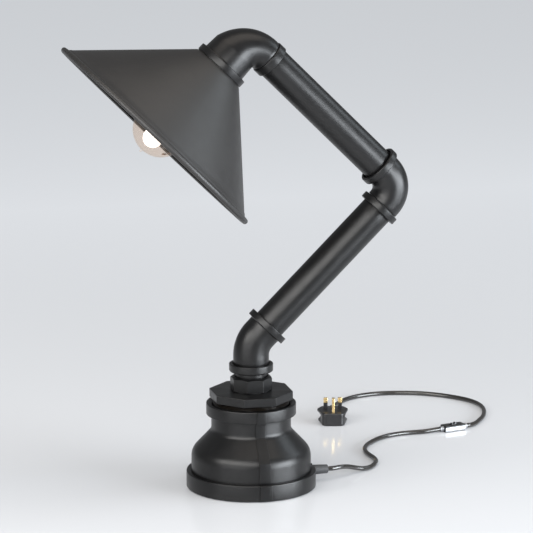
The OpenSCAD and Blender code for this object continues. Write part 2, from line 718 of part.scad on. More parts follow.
module switch_cover() {
    color(black) switch_frame() difference() {
        translate([-switch_len / 2, -switch_w / 2, switch_h - 2.2]) cube([switch_len, switch_w, 2.2]);
        translate([-4.5 - slider_travel, -3, 0]) cube([9 + 2 * slider_travel, 6, switch_h + 1]);
    }
}

module switch_trims() {
    color([0.85, 0.86, 0.88]) switch_frame() for (m = [0, 1]) mirror([0, m, 0])
        translate([-switch_len / 2, switch_w / 2 - trim_t, 1]) cube([switch_len, trim_t, switch_h - 3.2]);
}

module switch_ferrules() {
    color([0.8, 0.8, 0.82]) switch_frame() for (m = [0, 1]) mirror([m, 0, 0])
        translate([switch_len / 2, 0, switch_axis_z]) rotate([0, 90, 0])
            ring(ferrule_r, cord_d / 2 + 0.1, ferrule_len);
}

module switch_contacts() {
    color([0.8, 0.6, 0.25]) switch_frame() for (m = [0, 1]) mirror([m, 0, 0])
        translate([2, -3, 2]) cube([switch_len / 2 - 8, 6, 1]);
}

module switch_slider() {
    color(black) switch_frame() {
        translate([-4, -2.7, 3.2]) cube([8, 5.4, switch_h - 3.2 + 0.4]);
        translate([-4, -2.7, switch_h]) cube([2.2, 5.4, grip_h - 0.6]);
        translate([0.8, -2.7, switch_h]) cube([3.2, 5.4, grip_h]);
    }
}

// outline of the plug: widest at its ears, beside the live and neutral pins
module plug_outline(w_ears, w_front, y_back, y_front) {
    hull() for (m = [-1, 1]) {
        translate([m * (w_ears / 2 - 7), pin_pitch / 2 + 2]) circle(r = 7, $fn = 24);
        translate([m * (w_ears / 4 - 1), y_back - 9]) circle(r = 9, $fn = 24);
        translate([m * (w_front / 2 - 8), y_front + 8]) circle(r = 8, $fn = 24);
    }
}

module plug_base() {
    color(black) plug_frame() difference() {
        translate([0, 0, plug_h - 5]) linear_extrude(5)
            plug_outline(plate_w, plate_w - 12, pin_pitch / 2 + plug_back, -pin_pitch / 2 - 9.5);
        for (x = [-1, 1]) translate([x * pin_pitch / 2, pin_pitch / 2, plug_h]) cube([6.36, 4.01, 20], center = true);
        translate([0, -pin_pitch / 2, plug_h]) cube([4.01, 8.01, 20], center = true);
        translate([0, -1, 1]) cylinder(r = plug_screw_d / 2 + seat_fit, h = plug_h);
        translate([0, -1, plug_h - 2.6]) cylinder(r = plug_screw_d + seat_fit, h = 10);
    }
}

module plug_cover() {
    color(black) plug_frame() difference() {
        union() {
            translate([0, 0, 4]) linear_extrude(plug_h - 9)
                plug_outline(waist_w, waist_w - 1, pin_pitch / 2 + plug_back - 1, -pin_pitch / 2 - 9);
            linear_extrude(4) plug_outline(plate_w - 2, waist_w - 1, pin_pitch / 2 + plug_back - 0.5, -pin_pitch / 2 - 9);
            translate([0, pin_pitch / 2 + 13, cord_port_z]) rotate([-90, 0, 0])
                cylinder(r = cord_spout_r, h = plug_back - 5.5);
        }
        translate([-waist_w / 2 + 4.5, -pin_pitch / 2 - 5.5, 2.5])
            cube([waist_w - 9, pin_pitch + 11, plug_h]);
        translate([0, -1, 0.8]) cylinder(r = plug_screw_d / 2 + seat_fit, h = plug_h);
        translate([0, pin_pitch / 2 + 2, cord_port_z]) rotate([-90, 0, 0]) cylinder(r = cord_d / 2 + 0.1, h = 40);
    }
}

module plug_earth_pin() {
    color([0.85, 0.66, 0.3]) plug_frame() translate([0, -pin_pitch / 2, plug_h - 10 + 16.3])
        cube([4, 8, 32.6], center = true);
}

module plug_line_pins() {
    color([0.85, 0.66, 0.3]) plug_frame() for (x = [-1, 1]) translate([x * pin_pitch / 2, pin_pitch / 2, 0]) {
        translate([-3.175, -2, plug_h + 9.5]) cube([6.35, 4, 8.2]);
        translate([-2.4, -1.2, plug_h - 10]) cube([4.8, 2.4, 20]);
    }
}

module plug_sleeves() {
    color([0.04, 0.04, 0.04]) plug_frame() for (x = [-1, 1]) translate([x * pin_pitch / 2, pin_pitch / 2, 0])
        difference() {
            translate([-3.175, -2, plug_h - 4]) cube([6.35, 4, 13.5]);
            translate([-2.4, -1.2, plug_h - 5]) cube([4.8, 2.4, 20]);
        }
}

module plug_fuse() {
    color([0.85, 0.82, 0.75]) plug_frame() translate([10, -pin_pitch / 2 - 5, 5.7])
        rotate([-90, 0, 0]) cylinder(r = 3.15, h = 25.4);
}

module plug_cord_grip() {
    color([0.2, 0.2, 0.2]) plug_frame() difference() {
        translate([-6, pin_pitch / 2 - 2, 2.5]) cube([12, 5, 7.5]);
        translate([0, pin_pitch / 2 - 4, cord_port_z]) rotate([-90, 0, 0]) cylinder(r = cord_d / 2 + 0.1, h = 12);
    }
}

module plug_screw() {
    color([0.6, 0.6, 0.6]) plug_frame() translate([0, -1, 0]) {
        translate([0, 0, 1]) cylinder(r = plug_screw_d / 2, h = plug_h - 2);
        translate([0, 0, plug_h - 2.6]) cylinder(r = plug_screw_d, h = 2.3);
    }
}

// ---------- arms ----------

module lower_elbow() {
    tangent = lower_elbow_bend * turn_tangent;
    color(black) {
        translate([0, 0, socket_floor]) elbow_foot(elbow_r, elbow_z - tangent - socket_floor + fit_edge);
        translate([0, 0, elbow_z - tangent])
            bend(lower_elbow_bend, elbow_r - fit_edge, lean, passage_d / 2 + fit_edge);
        lower_frame() elbow_mouth(tangent - fit_edge, lower_elbow_leg, lower_band_d / 2, lower_band_w, lower_seat,
                                  0.8, 0.8, seat_r + 1, 1);
    }
}

module base_washer() { translate([0, 0, socket_floor]) friction_washer(); }
module base_clip() { translate([0, 0, socket_floor]) clip(); }
module lower_pipe() { lower_frame() pipe(lower_seat, lower_pipe_len); }

module lower_collar() {
    color(black) lower_frame() translate([0, 0, lower_face]) collar(lower_collar_d, lower_collar_w);
}

module flex_bend(len_in, bend_r, a, len_out) {
    r = flex_d / 2;
    t = bend_r * tan(a / 2);
    translate([0, 0, -len_in]) cylinder(r = r, h = len_in - t + fit_edge);
    translate([0, 0, -t]) bend(bend_r, r - fit_edge, a);
    rotate([0, a, 0]) translate([0, 0, t - fit_edge]) cylinder(r = r, h = len_out - t + fit_edge);
}

module lower_flex() {
    color([0.2, 0.2, 0.2]) translate([0, 0, elbow_z])
        flex_bend(elbow_z - riser_points[len(riser_points) - 1][2], lower_elbow_bend, lean,
                  lower_face + flex_plane);
}

module middle_elbow() {
    color(black) lower_frame() translate([0, 0, lower_len]) {
        translate([0, 0, -middle_elbow_face - face_z])
            elbow_foot(elbow_r, face_z + middle_elbow_face - middle_elbow_bend + fit_edge);
        mirror([1, 0, 0]) translate([0, 0, -middle_elbow_bend])
            bend(middle_elbow_bend, elbow_r - fit_edge, 90, passage_d / 2 + fit_edge);
        rotate([0, -90, 0]) elbow_mouth(middle_elbow_bend - fit_edge, middle_elbow_leg, middle_band_d / 2, middle_band_w,
                                        upper_seat, 3, 2.4, pipe_r + mouth_gap, mouth_depth);
    }
}

module middle_washer() { lower_frame() translate([0, 0, lower_face]) friction_washer(); }
module middle_clip() { lower_frame() translate([0, 0, lower_face]) clip(); }
module upper_pipe() { upper_frame() pipe(upper_seat, upper_pipe_len); }

module upper_collar() {
    color(black) upper_frame() translate([0, 0, upper_face]) collar(upper_collar_d, upper_collar_w);
}

module upper_flex() {
    color([0.2, 0.2, 0.2]) lower_frame() translate([0, 0, lower_len]) mirror([1, 0, 0])
        flex_bend(lower_len - lower_face - flex_plane, middle_elbow_bend, 90, upper_face + flex_plane);
}

// ---------- head ----------

// hollow elbow that grows from the arm's radius to the shade's: rings turned about its inner corner
module growing_bend(r0, r1) {
    rings = 14;
    sides = 36;
    corner = [bend_side, bend_out];
    function loop(i, inset) = let (a = 90 * i / rings, x = i / rings, outer = r0 + (r1 - r0) * x * x,
                                   r = outer - inset, c = outer + head_corner_r)
        [for (j = [0:sides - 1]) let (q = c + r * cos(360 * j / sides))
            [-corner[0] + q * sin(a), r * sin(360 * j / sides), corner[1] - q * cos(a)]];
    shift = (rings + 1) * sides;
    points = [for (inset = [fit_edge, head_wall + 0.4], i = [0:rings]) each loop(i, inset)];
    outside = [for (i = [0:rings - 1], j = [0:sides - 1]) let (k = (j + 1) % sides)
        [i * sides + j, (i + 1) * sides + j, (i + 1) * sides + k, i * sides + k]];
    inside = [for (f = outside) [for (m = [3:-1:0]) shift + f[m]]];
    first = [for (j = [0:sides - 1]) let (k = (j + 1) % sides) [j, k, shift + k, shift + j]];
    last = [for (f = first) [for (m = [3:-1:0]) rings * sides + f[m]]];
    polyhedron(points = points, faces = concat(outside, inside, first, last), convexity = 6);
}

module head_elbow() {
    hole = tube_d / 2 + seat_fit;
    inner = head_bend_r - head_wall - 1;
    band_low = head_elbow_leg - head_band_w;
    color(black) head_frame() {
        rotate([0, -90, 0]) translate([0, 0, head_elbow_face + face_z]) mirror([0, 0, 1])
            elbow_foot(head_small_r, face_z + head_elbow_face - bend_side + fit_edge);
        growing_bend(head_small_r, head_bend_r);
        rotate_extrude() polygon(concat([[inner, bend_out - fit_edge], [head_bend_r, bend_out - fit_edge],
                                         [head_big_r, band_low]],
            arc(head_band_d / 2 - 0.8, band_low + 0.8, 0.8, -90, 0, 6),
            arc(head_band_d / 2 - 0.8, head_elbow_leg - 0.8, 0.8, 0, 90, 6),
            [[inner, head_elbow_leg], [inner, web_low], [hole, web_low], [hole, web_low - web_t],
             [inner, web_low - web_t]]));
    }
}

module head_washer() { upper_frame() translate([0, 0, upper_face]) friction_washer(); }
module head_clip() { upper_frame() translate([0, 0, upper_face]) clip(); }

module threaded_tube() {
    color([0.8, 0.65, 0.3]) head_frame() translate([0, 0, tube_top])
        ring(tube_d / 2, tube_bore_d / 2, tube_end - tube_top);
}

module tube_nut() {
    color([0.8, 0.65, 0.3]) head_frame() translate([0, 0, web_low - web_t - tube_nut_h]) difference() {
        cylinder(r = tube_nut_flats / 2 / cos(30), h = tube_nut_h, $fn = 6);
        translate([0, 0, -1]) cylinder(r = tube_d / 2 + seat_fit, h = 20);
    }
}

module clamp_washer() {
    color([0.6, 0.6, 0.6]) head_frame() translate([0, 0, clamp_top]) ring(clamp_d / 2, tube_d / 2 + seat_fit, clamp_t);
}

module shade() {
    slant = shade_t / cos(shade_angle);
    seam_r = shade_top_r - seam_step;
    color([0.17, 0.17, 0.18]) head_frame() rotate_extrude() union() {
        polygon([[tube_d / 2 + seat_fit, head_elbow_leg], [seam_r, head_elbow_leg], [seam_r, shade_top],
                 [shade_top_r, shade_top], [bead_ring_r, bead_s], [bead_ring_r - slant, bead_s],
                 [shade_top_r - slant + cone_slope * shade_t, clamp_top], [tube_d / 2 + seat_fit, clamp_top]]);
        translate([bead_ring_r, bead_s]) difference() {
            circle(r = bead_r);
            circle(r = bead_r - bead_t);
            rotate([0, 0, 155]) translate([0, -0.8]) square([bead_r + 1, 1.6]);
        }
    }
}

module lampholder() {
    r = holder_d / 2;
    color([0.07, 0.07, 0.07]) head_frame() rotate_extrude() polygon([
        [tube_d / 2 + seat_fit, holder_top], [r - 7, holder_top], [r - 2.5, holder_top + 5],
        [r - 2.5, holder_mid - 3], [r, holder_mid], [r, holder_end], [r - holder_wall, holder_end],
        [r - holder_wall, holder_mid], [r - 5, holder_mid], [r - 5, holder_top + 7],
        [tube_d / 2 + seat_fit, holder_top + 7]]);
}

module holder_ring() {
    color([0.07, 0.07, 0.07]) head_frame() translate([0, 0, holder_mid + 6])
        rounded_band(holder_d / 2 + 3.5, holder_d / 2 + seat_fit, holder_ring_h, 1, 1);
}

module holder_insert() {
    color([0.9, 0.89, 0.84]) head_frame() translate([0, 0, holder_mid]) difference() {
        cylinder(r = holder_d / 2 - holder_wall - seat_fit, h = insert_h);
        translate([0, 0, -1]) cylinder(r = 3.5, h = 6);
    }
}

module screw_shell() {
    bore = screw_shell_bore / 2;
    color([0.8, 0.62, 0.28]) head_frame() {
        translate([0, 0, insert_end]) ring(bore + screw_shell_t, bore, holder_end - insert_end - 1);
        translate([0, 0, insert_end]) cylinder(r = 3, h = tip_s - insert_end);
    }
}

module bulb_cap() {
    color([0.8, 0.8, 0.78]) head_frame() {
        translate([0, 0, tip_s]) cylinder(r = 5, h = 1.5);
        translate([0, 0, tip_s + 1.5]) cylinder(r1 = 8, r2 = cap_d / 2, h = 3);
        for (i = [0:4]) translate([0, 0, tip_s + 4.5 + i * 4]) cylinder(r = cap_d / 2 - (i % 2) * 0.5, h = 4);
        translate([0, 0, tip_s + 24.5]) cylinder(r = cap_d / 2 - 0.6, h = cap_end - tip_s - 24.5);
    }
}

// outline of the glass from its neck to its tip; inset gives the inner face
function glass_side(inset) =
    let (neck = cap_d / 2 - 0.8 - inset, r = globe_r - inset, f = glass_fillet + inset,
         cx = neck + f, cy = globe_s - sqrt(pow(r + f, 2) - pow(cx, 2)),
         a = atan2(globe_s - cy, -cx))
    concat(arc(cx, cy, f, 180, a, 8), arc(0, globe_s, r, a - 180, 90, 28));

module bulb_glass() {
    color([0.95, 0.86, 0.7, 0.35]) head_frame() {
        rotate_extrude() difference() {
            polygon(concat([[0, cap_end]], [[cap_d / 2 - 0.8, cap_end]], glass_side(0)));
            polygon(concat([[0, cap_end + 1.5]], [[cap_d / 2 - 0.8 - glass_t, cap_end + 1.5]], glass_side(glass_t)));
        }
        translate([0, 0, globe_s + globe_r - 0.3]) cylinder(r1 = 3, r2 = 0.8, h = 4);
    }
}

module bulb_stem() {
    stem_top = cap_end + 1.5;
    color([0.9, 0.8, 0.6]) head_frame() {
        translate([0, 0, stem_top]) cylinder(r1 = 8, r2 = 3.5, h = 12);
        translate([0, 0, stem_top + 12]) cylinder(r = 3.5, h = globe_s - stem_top - 24);
        for (a = [0:90:270]) rotate([0, 0, a]) translate([0, 0, globe_s - 14])
            rotate([0, 40, 0]) cylinder(r = 0.4, h = 24);
    }
}

module head_flex() {
    color([0.2, 0.2, 0.2]) upper_frame() translate([0, 0, upper_len]) mirror([1, 0, 0])
        flex_bend(upper_len - upper_face - flex_plane, 24, 90, holder_mid);
}

// ---------- the assembly ----------

base_shell();
base_ring();
base_plate();
foot_pad();
ballast();
base_screws();
bushing();
nut_washer();
lock_nut();
swivel_socket();
terminal_block();
terminal_screws();
earth_tag();
cord_anchor();
inner_lead();
riser_flex();
cord_boot();
cord_near();
cord_far();
switch_body();
switch_cover();
switch_trims();
switch_ferrules();
switch_contacts();
switch_slider();
plug_base();
plug_cover();
plug_earth_pin();
plug_line_pins();
plug_sleeves();
plug_fuse();
plug_cord_grip();
plug_screw();
lower_elbow();
base_washer();
base_clip();
lower_pipe();
lower_collar();
lower_flex();
middle_elbow();
middle_washer();
middle_clip();
upper_pipe();
upper_collar();
upper_flex();
head_elbow();
head_washer();
head_clip();
threaded_tube();
tube_nut();
clamp_washer();
shade();
lampholder();
holder_ring();
holder_insert();
screw_shell();
bulb_glass();
bulb_cap();
bulb_stem();
head_flex();
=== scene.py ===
# %% [markdown]
# # Pipe table lamp: the looks
# A table lamp put together from pipe fittings: a cast bell for a base, two arms of painted pipe on swivels,
# a cone shade with a globe bulb, and a free cord with a switch and a plug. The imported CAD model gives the
# frame, with its nodes, bodies and real size. Every visible surface gets a finer piece of its own, built in
# the frame's coordinates, and each piece rides on the CAD body that it belongs to, so it follows the
# joints.

import math

import bmesh
import bpy
import numpy as np
from mathutils import Matrix, Vector


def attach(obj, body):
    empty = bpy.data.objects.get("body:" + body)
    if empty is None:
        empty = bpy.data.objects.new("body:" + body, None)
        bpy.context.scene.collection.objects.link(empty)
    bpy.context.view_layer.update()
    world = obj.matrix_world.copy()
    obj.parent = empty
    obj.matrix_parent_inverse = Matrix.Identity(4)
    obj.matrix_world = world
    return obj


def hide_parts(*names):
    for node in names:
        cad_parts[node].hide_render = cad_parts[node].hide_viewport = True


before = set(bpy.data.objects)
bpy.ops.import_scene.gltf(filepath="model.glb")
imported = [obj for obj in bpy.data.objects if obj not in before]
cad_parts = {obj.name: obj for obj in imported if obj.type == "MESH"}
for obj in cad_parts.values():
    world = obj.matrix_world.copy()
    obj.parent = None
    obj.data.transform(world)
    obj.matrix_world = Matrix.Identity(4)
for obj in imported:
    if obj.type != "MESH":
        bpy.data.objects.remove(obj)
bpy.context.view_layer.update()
scene = bpy.context.scene

# %% [markdown]
# ## Sizes and places
# Three corners place the whole lamp: the points where the pipes' middle lines meet. They have the same
# values as in the part's source, in millimetres. A place is an origin with directions of its own. A piece
# is drawn upright in its place, which then gives the frame's metres, so a slanted pipe is as easy to draw
# as an upright one.

# %% Sizes and places
MM = 0.001
DIAGONAL = math.sqrt(0.5)
LOWER_CORNER = (0, 0, 215.0)
MIDDLE_CORNER = (223.1, 0, 438.1)
HEAD_CORNER = (-5.0, 0, 666.2)
PIPE_R, PIPE_WALL = 24.15, 2
ELBOW_R = 26.2


class Place:
    """An origin in millimetres with the directions of its own x, y and z."""

    def __init__(self, origin, x=(1, 0, 0), z=(0, 0, 1)):
        self.o = np.array(origin, float)
        self.x = np.array(x, float) / np.linalg.norm(x)
        self.z = np.array(z, float) / np.linalg.norm(z)
        self.y = np.cross(self.z, self.x)

    def at(self, p):
        p = np.asarray(p, float)
        return (self.o + p[..., 0:1] * self.x + p[..., 1:2] * self.y + p[..., 2:3] * self.z) * MM


BASE = Place((0, 0, 0))
LOWER = Place(LOWER_CORNER, (DIAGONAL, 0, -DIAGONAL), (DIAGONAL, 0, DIAGONAL))
UPPER = Place(MIDDLE_CORNER, (DIAGONAL, 0, DIAGONAL), (-DIAGONAL, 0, DIAGONAL))
HEAD = Place(HEAD_CORNER, (-DIAGONAL, 0, DIAGONAL), (-DIAGONAL, 0, -DIAGONAL))
print("lower arm points to", LOWER.z, "upper arm to", UPPER.z, "shade to", HEAD.z)

# %% [markdown]
# ## Outlines
# Turned and cast pieces start as an outline of (radius, height). It is drawn with sharp corners, and then
# soften sets an arc into each corner that has a radius. A Bevel modifier could do it later, but an outline
# lets each corner have its own roundness, and on black paint the highlights along the edges are most of
# what one sees.

# %% Outlines
STRAIGHT = math.radians(176)
LEG_SHARE = 0.48


def arc(cx, cy, r, a0, a1, n=8):
    a = np.radians(np.linspace(a0, a1, n + 1))
    return [(cx + r * math.cos(t), cy + r * math.sin(t)) for t in a]


def soften(points, radii, steps=4, closed=True):
    """Rounds the corners of an outline. radii is one number, or a dict from a corner to its radius."""
    out, count = [], len(points)
    for i, point in enumerate(points):
        radius = radii.get(i, 0) if isinstance(radii, dict) else radii
        corner, before, after = (np.array(q, float) for q in (point, points[i - 1], points[(i + 1) % count]))
        back, ahead = before - corner, after - corner
        back_len, ahead_len = np.linalg.norm(back), np.linalg.norm(ahead)
        if radius <= 0 or (not closed and i in (0, count - 1)) or min(back_len, ahead_len) < 1e-9:
            out.append(tuple(point))
            continue
        back, ahead = back / back_len, ahead / ahead_len
        angle = math.acos(max(-1, min(1, float(back @ ahead))))
        if angle > STRAIGHT:
            out.append(tuple(point))
            continue
        reach = min(radius / math.tan(angle / 2), back_len * LEG_SHARE, ahead_len * LEG_SHARE)
        radius = reach * math.tan(angle / 2)
        centre = corner + (back + ahead) / np.linalg.norm(back + ahead) * (radius / math.sin(angle / 2))
        start, end = corner + back * reach - centre, corner + ahead * reach - centre
        sweep = math.atan2(start[0] * end[1] - start[1] * end[0], float(start @ end))
        for k in range(steps + 1):
            turn = sweep * k / steps
            out.append((centre[0] + start[0] * math.cos(turn) - start[1] * math.sin(turn),
                        centre[1] + start[0] * math.sin(turn) + start[1] * math.cos(turn)))
    return out


print("a rounded corner has", len(soften([(0, 0), (10, 0), (10, 10)], {1: 2}, closed=False)) - 2, "points")

# %% [markdown]
# ## From outlines to faces
# A lathe turns an outline about its place's axis, and a loft runs through a stack of outlines. Blender's
# Screw modifier turns an outline too, but plain vertices and faces are easy to join and to check.

# %% From outlines to faces
def grid_faces(rows, cols, wrap_rows=False):
    """Faces between rows of vertices. Each row is closed, and wrap_rows joins the last row to the first."""
    faces = []
    for i in range(rows if wrap_rows else rows - 1):
        low, high = i * cols, ((i + 1) % rows) * cols
        for j in range(cols):
            k = (j + 1) % cols
            faces.append((low + j, low + k, high + k, high + j))
    return faces


def capped_faces(rows, cols):
    """Faces between rows, with the first and the last row filled."""
    return grid_faces(rows, cols) + [tuple(range(cols))[::-1], tuple(range((rows - 1) * cols, rows * cols))]


def lathe(profile, place=BASE, cols=144):
    """Turns a closed profile of (radius, height) about the place's z."""
    outline = np.array(profile, float)
    a = np.linspace(0, 2 * math.pi, cols, endpoint=False)
    ring = np.stack([np.cos(a), np.sin(a)], 1)
    heights = np.repeat(outline[:, None, 1:2], cols, 1)
    points = np.concatenate([outline[:, None, 0:1] * ring[None], heights], 2)
    return place.at(points).reshape(-1, 3), grid_faces(len(outline), cols, wrap_rows=True)


def stacked(outlines, place):
    """Points through outlines of equal count, each of them (list of (x, y), z)."""
    return place.at(np.array([[(x, y, z) for x, y in o] for o, z in outlines], float)).reshape(-1, 3)


def loft(outlines, place):
    """Solid through a stack of outlines."""
    return stacked(outlines, place), capped_faces(len(outlines), len(outlines[0][0]))


def holed_loft(outlines, place):
    """Solid whose outlines run up the outside and come back down through a hole."""
    return stacked(outlines, place), grid_faces(len(outlines), len(outlines[0][0]), wrap_rows=True)


def box_outline(x0, x1, y0, y1, r, inset=0.0, steps=4):
    x0, x1, y0, y1 = x0 + inset, x1 - inset, y0 + inset, y1 - inset
    return soften([(x0, y0), (x1, y0), (x1, y1), (x0, y1)], r, steps)


def block(x0, x1, y0, y1, z0, z1, r, place, n=3):
    """A box with rounded edges."""
    steps = [(r * (1 - math.sin(a)), r * (1 - math.cos(a))) for a in np.linspace(0, math.pi / 2, n + 1)]
    low = [(box_outline(x0, x1, y0, y1, r, i, n), z0 + d) for i, d in steps]
    top = [(box_outline(x0, x1, y0, y1, r, i, n), z1 - d) for i, d in reversed(steps)]
    return loft(low + top, place)


def join(*parts):
    verts, faces, n = [], [], 0
    for v, f in parts:
        v = np.asarray(v)
        verts.append(v)
        faces += [tuple(i + n for i in q) for q in f]
        n += len(v)
    return np.concatenate(verts), faces


print("a rounded block has", len(block(0, 10, 0, 10, 0, 10, 1, BASE)[1]), "faces")

# %% [markdown]
# ## From faces to pieces
# Every mesh gets its doubles merged and then its faces turned outwards, in that order, because a seam that
# is still open can turn a wall inside out. A finished piece sits at the origin with its place in its mesh.
# It rides on a body and says which CAD nodes it stands for.

# %% From faces to pieces
WELD = 2e-7


def weld(bm):
    bmesh.ops.remove_doubles(bm, verts=bm.verts, dist=WELD)
    bmesh.ops.recalc_face_normals(bm, faces=bm.faces)


def show(name, data):
    """A new object in the scene for a mesh, a light or the camera."""
    ob = bpy.data.objects.new(name, data)
    scene.collection.objects.link(ob)
    return ob


def finish_piece(name, mesh, material, body, replaces=(), sharp=32):
    mesh.materials.clear()
    for m in material if isinstance(material, list) else [material]:
        mesh.materials.append(m)
    mesh.shade_smooth()
    mesh.set_sharp_from_angle(angle=math.radians(sharp))
    ob = show(name, mesh)
    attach(ob, body)
    if replaces:
        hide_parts(*replaces)
    print(f"{name}: {len(mesh.polygons)} faces, on {body}")
    return ob


def piece(name, verts, faces, material, body, slot=None, replaces=(), sharp=32):
    """A shown piece from vertices and faces, riding on its CAD body."""
    bm = bmesh.new()
    corners = [bm.verts.new(v) for v in verts]
    for f in faces:
        bm.faces.new([corners[i] for i in f])
    weld(bm)
    mesh = bpy.data.meshes.new(name)
    bm.to_mesh(mesh)
    bm.free()
    return finish_piece(name, mesh, material, body, replaces, sharp)


# %% [markdown]
# ## Cutting and joining meshes
# Some pieces have an opening, and some are two solids in one mesh. Openings drawn into the faces by hand
# would be long and hard to change, so a boolean cuts them. It works on objects, so the meshes are shown for
# a moment, and what comes back is plain mesh data again.

# %% Cutting and joining meshes
def welded(name, verts, faces):
    """Mesh data from vertices and faces, for a piece that is still to be cut or joined."""
    mesh = bpy.data.meshes.new(name)
    mesh.from_pydata([tuple(v) for v in verts], [], faces)
    bm = bmesh.new()
    bm.from_mesh(mesh)
    weld(bm)
    bm.to_mesh(mesh)
    bm.free()
    return mesh


def join_meshes(meshes, name):
    bm = bmesh.new()
    for m in meshes:
        bm.from_mesh(m)
    out = bpy.data.meshes.new(name)
    bm.to_mesh(out)
    bm.free()
    return out


def convert(ob):
    """The evaluated mesh of an object with modifiers, as plain mesh data."""
    bpy.context.view_layer.update()
    graph = bpy.context.evaluated_depsgraph_get()
    mesh = bpy.data.meshes.new_from_object(ob.evaluated_get(graph))
    bpy.data.objects.remove(ob)
    return mesh


def cut(name, target, cutters):
    """A mesh with openings: each cutter is taken away from the target by a boolean."""
    ob = show(name, welded(name, *target))
    tools = [show(f"{name}_{i}", welded(f"{name}_{i}", *c)) for i, c in enumerate(cutters)]
    for tool in tools:
        mod = ob.modifiers.new("cut", "BOOLEAN")
        mod.object, mod.operation, mod.solver = tool, "DIFFERENCE", "EXACT"
    mesh = convert(ob)
    for tool in tools:
        bpy.data.objects.remove(tool)
    return mesh


print("meshes are cut with the exact solver, and welded at", WELD, "m")

# %% [markdown]
# ## How a tree starts and ends
# Two trees do what repeats or follows a path. One sweeps a round section along a chain of points, for the
# cords and the wires, and one sets copies of a strip round a circle, for the bulb's filaments. Curve bevels
# and an Array modifier would do too, but a tree has named inputs for its sizes and one way to end: Realize
# Instances and Set Material, because the export drops instances.

# %% How a tree starts and ends
def new_group(name, sockets):
    """A tree with a mesh and the given sockets for inputs. Returns what the two trees need to go on."""
    group = bpy.data.node_groups.new(name, "GeometryNodeTree")
    group.interface.new_socket("Geometry", in_out="INPUT", socket_type="NodeSocketGeometry")
    ids = {}
    for label, kind, value in sockets:
        socket = group.interface.new_socket(label, in_out="INPUT", socket_type=kind)
        if value is not None:
            socket.default_value = value
        ids[label] = socket.identifier
    group.interface.new_socket("Geometry", in_out="OUTPUT", socket_type="NodeSocketGeometry")
    return group, group.nodes.new("NodeGroupInput"), ids


def end_group(group, given, geometry):
    link = group.links.new
    real, paint, result = (group.nodes.new(t) for t in (
        "GeometryNodeRealizeInstances", "GeometryNodeSetMaterial", "NodeGroupOutput"))
    link(geometry, real.inputs["Geometry"])
    link(real.outputs["Geometry"], paint.inputs["Geometry"])
    link(given.outputs["Material"], paint.inputs["Material"])
    link(paint.outputs["Geometry"], result.inputs["Geometry"])


print("trees so far:", len(bpy.data.node_groups))

# %% [markdown]
# ## A tree that sweeps a section
# A chain of points becomes a curve, and a circle is swept along it, with its two ends closed. The cords'
# sheaths and the bulb's wires and strips are made with it.

# %% A tree that sweeps a section
def sweep_group():
    sockets = [("Radius", "NodeSocketFloat", 0.0035), ("Sides", "NodeSocketInt", 24),
               ("Material", "NodeSocketMaterial", None)]
    group, given, ids = new_group("sweep_section", sockets)
    link = group.links.new
    to_curve, circle, sweep = (group.nodes.new(t) for t in (
        "GeometryNodeMeshToCurve", "GeometryNodeCurvePrimitiveCircle", "GeometryNodeCurveToMesh"))
    link(given.outputs["Geometry"], to_curve.inputs["Mesh"])
    link(given.outputs["Radius"], circle.inputs["Radius"])
    link(given.outputs["Sides"], circle.inputs["Resolution"])
    link(to_curve.outputs["Curve"], sweep.inputs["Curve"])
    link(circle.outputs["Curve"], sweep.inputs["Profile Curve"])
    sweep.inputs["Fill Caps"].default_value = True
    end_group(group, given, sweep.outputs["Mesh"])
    return group, ids


SWEEP = sweep_group()
print("sweep, with inputs", list(SWEEP[1]))

# %% [markdown]
# ## A tree that copies round a circle
# Each point of a small circle gets an instance of the strip, turned so that its x points away from the
# middle.

# %% A tree that copies round a circle
def circle_group():
    sockets = [("Count", "NodeSocketInt", 8), ("Radius", "NodeSocketFloat", 0.01),
               ("Material", "NodeSocketMaterial", None)]
    group, given, ids = new_group("copies_on_circle", sockets)
    link = group.links.new
    circle, copies, align, position = (group.nodes.new(t) for t in (
        "GeometryNodeMeshCircle", "GeometryNodeInstanceOnPoints", "FunctionNodeAlignRotationToVector",
        "GeometryNodeInputPosition"))
    link(given.outputs["Count"], circle.inputs["Vertices"])
    link(given.outputs["Radius"], circle.inputs["Radius"])
    align.axis = "X"
    link(position.outputs["Position"], align.inputs["Vector"])
    link(circle.outputs["Mesh"], copies.inputs["Points"])
    link(given.outputs["Geometry"], copies.inputs["Instance"])
    link(align.outputs["Rotation"], copies.inputs["Rotation"])
    end_group(group, given, copies.outputs["Instances"])
    return group, ids


COPIES = circle_group()
print("copies, with inputs", list(COPIES[1]))

# %% [markdown]
# ## Running a tree
# A modifier finds its inputs by the sockets' identifiers, not by their names. They are set before the
# object is first evaluated. What comes out is turned into a plain mesh at once, so nothing that is shown
# has a live modifier.

# %% Running a tree
def with_nodes(ob, group, **values):
    """Runs a tree on an object. Its inputs are set by identifier, before it is first evaluated."""
    tree, ids = group
    mod = ob.modifiers.new("nodes", "NODES")
    mod.node_group = tree
    for label, value in values.items():
        mod[ids[label]] = value
    return convert(ob)


def swept(name, points, radius, material, sides=24):
    """Mesh of a round section swept along points, in metres."""
    mesh = bpy.data.meshes.new(name)
    mesh.from_pydata([tuple(p) for p in points], [(i, i + 1) for i in range(len(points) - 1)], [])
    return with_nodes(show(name, mesh), SWEEP, Radius=radius, Sides=sides, Material=material)


print("ready to sweep and to copy")

# %% [markdown]
# ## Powder coat
# Pipe, fittings and shade are powder coated: black, satin, with a fine orange peel from the powder. A
# photograph could be wrapped round them, but a procedural coat needs no picture and has no seam. Object
# coordinates are the frame's metres, so all sizes in it are real. Noise moves tone and gloss a little, and
# a bump gives the peel.

# %% Powder coat
def shader(name):
    material = bpy.data.materials.new(name)
    material.use_nodes = True
    return material, material.node_tree, material.node_tree.nodes["Principled BSDF"]


